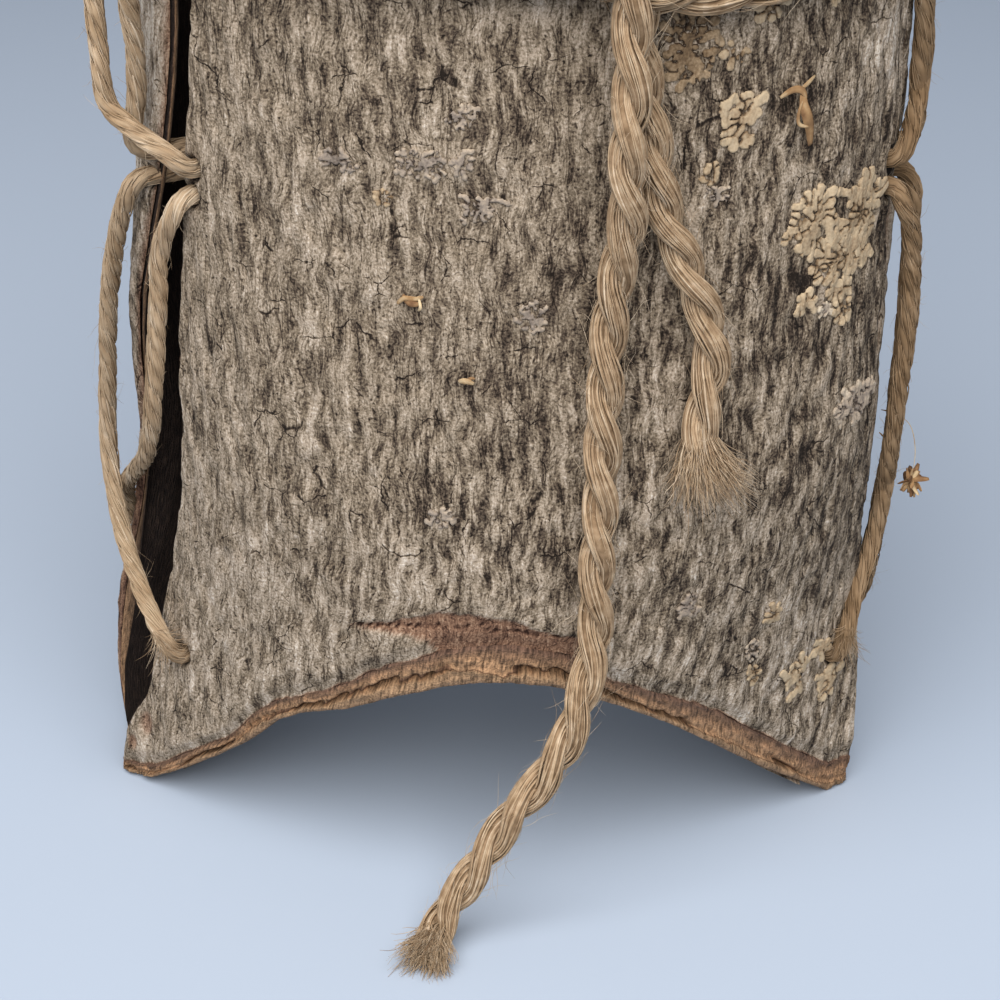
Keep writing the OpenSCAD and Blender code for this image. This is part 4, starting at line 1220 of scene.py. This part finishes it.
def lichen_plants(name, plants, material, first_seed):
    """A plant is a grid without the faces outside its lobes; what is left is thickened and laid on"""
    bm, spots, tones = bmesh.new(), [], []
    for seed, (u0, z0, wide, tall, lobe, bare, tone) in enumerate(plants, first_seed):
        rng = np.random.default_rng(seed)
        plant = rosette(rng, wide, tall, lobe, bare)
        size = lobe*rng.uniform(0.62, 0.8, len(plant[0]))
        half = max(wide, tall)*1.2 + lobe
        cells = int(2*half/LICHEN_CELL)
        flat = bmesh.new()
        bmesh.ops.create_grid(flat, x_segments=cells, y_segments=cells, size=half)
        middle = np.array([f.calc_center_median()[:2] for f in flat.faces])
        deep, slit, _ = depth_in(middle[:, 0], middle[:, 1], plant, size, lobe, seed)
        outside = [f for f, d, s in zip(flat.faces[:], deep, slit) if d < 0 or s < LICHEN_SLIT]
        bmesh.ops.delete(flat, geom=outside, context="FACES")
        bmesh.ops.smooth_vert(flat, verts=flat.verts, factor=0.5, use_axis_x=True, use_axis_y=True)
        made = bmesh.ops.extrude_face_region(flat, geom=flat.faces[:], use_keep_orig=True)
        top = [g for g in made["geom"] if isinstance(g, bmesh.types.BMVert)]
        bmesh.ops.translate(flat, verts=top, vec=(0, 0, 1))
        bmesh.ops.recalc_face_normals(flat, faces=flat.faces)
        pattern = as_mesh(flat, "plant")
        x, y, upper = read_places(pattern).astype(float).T
        bm.from_mesh(pattern)
        bpy.data.meshes.remove(pattern)
        deep, slit, owner = depth_in(x, y, plant, size, lobe, seed)
        edge = 1 - smooth(np.minimum(deep, slit)/0.22)
        # the lobes darken along the slits between them: painted shade
        slit_shade = 1 - smooth(slit/0.24)
        ground = SKIN_OUT + bark_relief(u0 + x, z0 + y, FRONT_SEED)
        rise = np.where(upper > 0.5, 0.3 - 0.14*edge + 0.03*(seed % 3), -0.3)
        spots.append(on_front(u0 + x, z0 + y, ground + rise))
        inward = np.clip(1 - np.hypot(x/wide, y/tall), 0, 1)
        tones.append(tone - 0.09 + 0.16*(lattice(owner, 0*owner, 508) - 0.5) - 0.28*inward - 0.7*slit_shade)
    mesh = as_mesh(bm, name)
    set_places(mesh, np.concatenate(spots))
    set_values(mesh, "tone", np.concatenate(tones))
    finish_piece(name, mesh, material)


# %% Lichen on the front wall
# along the wall, height, half width, half height, lobe, bare share, tone
LEAFY = [(40.2, 100.4, 4.4, 4.4, 0.95, 0.15, 0.98), (49.4, 100.4, 6.2, 5.4, 0.95, 0.2, 0.98),
         (46.8, 94.6, 7.2, 3.0, 0.95, 0.15, 0.94), (46.3, 90.4, 2.4, 1.4, 0.9, 0.2, 0.96),
         (39.8, 89.5, 1.9, 1.6, 0.8, 0.2, 1.0), (47.1, 87.0, 2.0, 1.9, 0.8, 0.2, 1.0),
         (20.1, 126.5, 3.8, 4.6, 0.9, 0.25, 0.62), (26.3, 125.0, 1.6, 2.2, 0.8, 0.35, 0.9),
         (28.0, 116.5, 3.4, 3.8, 1.0, 0.6, 1.0), (31.0, 131.0, 2.4, 1.6, 0.9, 0.3, 0.98),
         (40.5, 131.5, 2.4, 1.8, 0.9, 0.3, 0.94), (23.7, 110.0, 1.0, 1.4, 0.7, 0.4, 0.9),
         (-17.6, 106.6, 1.0, 0.9, 0.5, 0.3, 0.8), (49.8, 26.5, 3.8, 4.0, 0.9, 0.45, 1.08),
         (57.4, 22.4, 3.4, 2.4, 0.9, 0.4, 1.04), (54.1, 29.5, 1.5, 2.4, 0.8, 0.4, 0.98),
         (39.4, 31.2, 1.2, 3.0, 0.7, 0.5, 0.96), (40.6, 41.0, 1.3, 1.6, 0.7, 0.4, 0.9)]
PALE = [(52.6, 71.6, 5.6, 2.8, 0.8, 0.35, 0.82), (-12.6, 111.5, 3.6, 2.2, 0.5, 0.6, 0.72),
        (-7.4, 112.2, 1.6, 1.9, 0.55, 0.4, 0.74), (-7.8, 118.0, 3.0, 1.5, 0.45, 0.7, 0.72),
        (-5.1, 106.2, 3.6, 2.2, 0.5, 0.6, 0.76), (-23.2, 111.0, 2.6, 1.6, 0.5, 0.7, 0.6),
        (1.4, 91.5, 2.4, 2.0, 0.45, 0.7, 0.66), (-10.1, 62.5, 2.6, 1.8, 0.5, 0.7, 0.74),
        (25.4, 46.5, 2.0, 2.2, 0.5, 0.6, 0.7), (25.0, 107.0, 1.4, 1.3, 0.45, 0.5, 0.74),
        (43.5, 88.0, 1.3, 1.3, 0.4, 0.5, 1.0), (38.2, 35.0, 1.4, 1.8, 0.45, 0.5, 0.8)]
lichen_plants("leafy_lichen", LEAFY, leafy, 510)
lichen_plants("crust_lichen", PALE, crust, 540)

# %% [markdown]
# ## Litter
# A few dry shreds are caught on the bark, and a seed head hangs on a thread at the right lacing. Each is
# a flat tube: the fibre tool again, with one side of its frame made thin.

# %% Litter
# a dry leaf is thin and brittle: the eye gets small curled tan shreds with brown stains
DRY_STOPS = [(0.0, "#3f2c20"), (0.35, "#71533a"), (0.65, "#987753"), (1.0, "#c6b08c")]
dry_leaf = toned_material("dry leaf", DRY_STOPS, 1.5)
# half width and tone of each shred on the wall, then its points: along, height and distance off the bark
WALL_SHREDS = [
    (0.85, 0.5, [(35.9, 119.8, 0.7), (35.8, 117.8, 1.3), (36.3, 116.2, 1.5), (37.1, 114.5, 1.1),
                 (38.0, 112.0, 0.4)]),
    (0.5, 0.62, [(32.7, 119.0, 0.5), (34.2, 119.9, 0.9), (35.5, 119.7, 1.1), (36.2, 118.6, 1.1)]),
    (0.32, 0.8, [(35.3, 119.8, 1.0), (36.4, 120.6, 1.1), (37.8, 121.2, 0.6)]),
    (0.3, 0.66, [(35.4, 118.4, 1.4), (34.9, 116.8, 1.5), (35.2, 115.4, 1.4), (36.6, 114.9, 1.5)]),
    (0.36, 0.7, [(-15.6, 92.6, 0.3), (-14.6, 93.6, 0.7), (-13.2, 93.5, 0.4), (-12.2, 94.0, 0.6)]),
    (0.42, 0.42, [(-14.9, 93.9, 0.2), (-13.9, 92.9, 0.6), (-12.4, 92.9, 0.4)]),
    (0.22, 0.9, [(-12.9, 93.9, 0.3), (-12.5, 92.6, 0.8), (-12.9, 91.9, 0.3)]),
    (0.42, 0.86, [(-7.7, 82.4, 0.3), (-6.8, 82.7, 0.7), (-5.7, 82.2, 0.3)]),
    (0.24, 0.6, [(-7.0, 82.0, 0.2), (-6.2, 83.0, 0.5), (-5.6, 82.9, 0.3)])]
# the seed head's height on the lacing, how it hangs from there, its scales, and the shreds beside it
THREAD_HEIGHT, HEAD_HANG, HEAD_SCALES, LACE_SHREDS = 64, np.array([3.2, -1.0, -10.5]), 26, 9
THREAD_HALF, THREAD_TONE = 0.06, 0.8


def shred(points, wide, thin, normal, tone):
    """One flat shred along the points, pointed at both ends"""
    path = curve(points, 5)
    along = unit(np.gradient(path, axis=0))
    beside = unit(np.asarray(normal, float) - along*(along@np.asarray(normal, float))[:, None])
    across = np.cross(along, beside)
    k = np.linspace(0, 1, len(path))
    radii = wide*(0.25 + 0.75*np.sin(np.pi*np.clip(k, 0.04, 0.96))**0.6)
    return path[None], radii[None], across[None], thin*beside[None], np.array([tone]), 8


def wall_shred(wide, tone, spots):
    points = [on_front(np.array(u), np.array(z), SKIN_OUT + out) for u, z, out in spots]
    u, z, _ = spots[0]
    normal = points[0] - on_front(np.array(u), np.array(z), 0.0)
    return shred(points, wide, 0.2, normal, tone)


def right_lacing_at(z):
    """The outermost point of the right lacing at about this height"""
    line = lace_lines[RIGHT]
    return line[np.argmin(np.abs(line[:, 2] - z) - 0.3*line[:, 0])]


litter = [wall_shred(*s) for s in WALL_SHREDS]
near = right_lacing_at(THREAD_HEIGHT)
head = near + HEAD_HANG
rng = np.random.default_rng(601)
thread = [near, near + (2.4, -0.4, -2.0), near + (3.4, -0.8, -6.0), head]
litter.append(shred(thread, THREAD_HALF, 1.0, (0, -1, 0), THREAD_TONE))
for _ in range(HEAD_SCALES):
    way = unit(rng.normal(0, 1, 3) + (0, 0, -0.5))
    tip = head + way*rng.uniform(1.4, 2.9)
    litter.append(shred([head, head + way*0.9 + rng.normal(0, 0.2, 3), tip], rng.uniform(0.3, 0.6), 0.25,
                        rng.normal(0, 1, 3), rng.uniform(0.2, 0.75)))
for _ in range(LACE_SHREDS):
    start = right_lacing_at(rng.uniform(57, 66)) + rng.normal(0, 0.35, 3)
    litter.append(shred([start, start + rng.normal(0, 0.9, 3), start + rng.normal(0, 1.2, 3)],
                        rng.uniform(0.14, 0.3), 0.3, (0, -1, 0), rng.uniform(0.35, 0.8)))
fibres("dry_litter", litter, dry_leaf)

# %% [markdown]
# ## Light and floor
# The photograph was taken on a pale blue-grey sheet under soft light from above. The floor runs out to a
# bent backdrop, one large lamp above gives the soft shadow under the arch, and a weak even world fills
# the rest.

# %% Floor
FLOOR_HALF, FLOOR_RISE, FLOOR_BEND = 1.6, 1.2, 0.5
bm = bmesh.new()
bmesh.ops.create_grid(bm, x_segments=2, y_segments=40, size=FLOOR_HALF)
for v in bm.verts:
    back = v.co.y - (FLOOR_HALF - FLOOR_BEND)
    v.co.z = FLOOR_RISE*float(smooth(back/FLOOR_BEND))**2 if back > 0 else 0
floor_mesh = as_mesh(bm, "floor")
floor_mesh.polygons.foreach_set("use_smooth", [True]*len(floor_mesh.polygons))
# matt paper: an even pale blue-grey that takes soft shadows and no shine
floor_paper = new_material("pale blue-grey paper")[0]
surface(floor_paper, {"Base Color": linear("#a9b3c1"), "Roughness": 0.9, "Specular IOR Level": 0.1})
floor_mesh.materials.append(floor_paper)
floor = bpy.data.objects.new("floor", floor_mesh)
scene.collection.objects.link(floor)

# %% Lamps and world
scene.view_settings.view_transform = "Standard"
world = bpy.data.worlds.new("soft room")
scene.world = world
world.use_nodes = True
world.node_tree.nodes["Background"].inputs["Color"].default_value = linear("#e9eef6")
world.node_tree.nodes["Background"].inputs["Strength"].default_value = 0.34
LAMP_AIM = Vector((0, 0, 0.08))
for name, place, size, power in (("softbox above", (-0.06, -0.6, 0.88), 1.2, 19.5),
                                 ("fill in front", (-0.15, -1.0, 0.6), 0.7, 3.0)):
    lamp = bpy.data.lights.new(name, "AREA")
    lamp.shape = "DISK"
    lamp.size = size
    lamp.energy = power
    holder = bpy.data.objects.new(name, lamp)
    holder.location = place
    holder.rotation_euler = (Vector(place) - LAMP_AIM).to_track_quat("Z", "Y").to_euler()
    scene.collection.objects.link(holder)
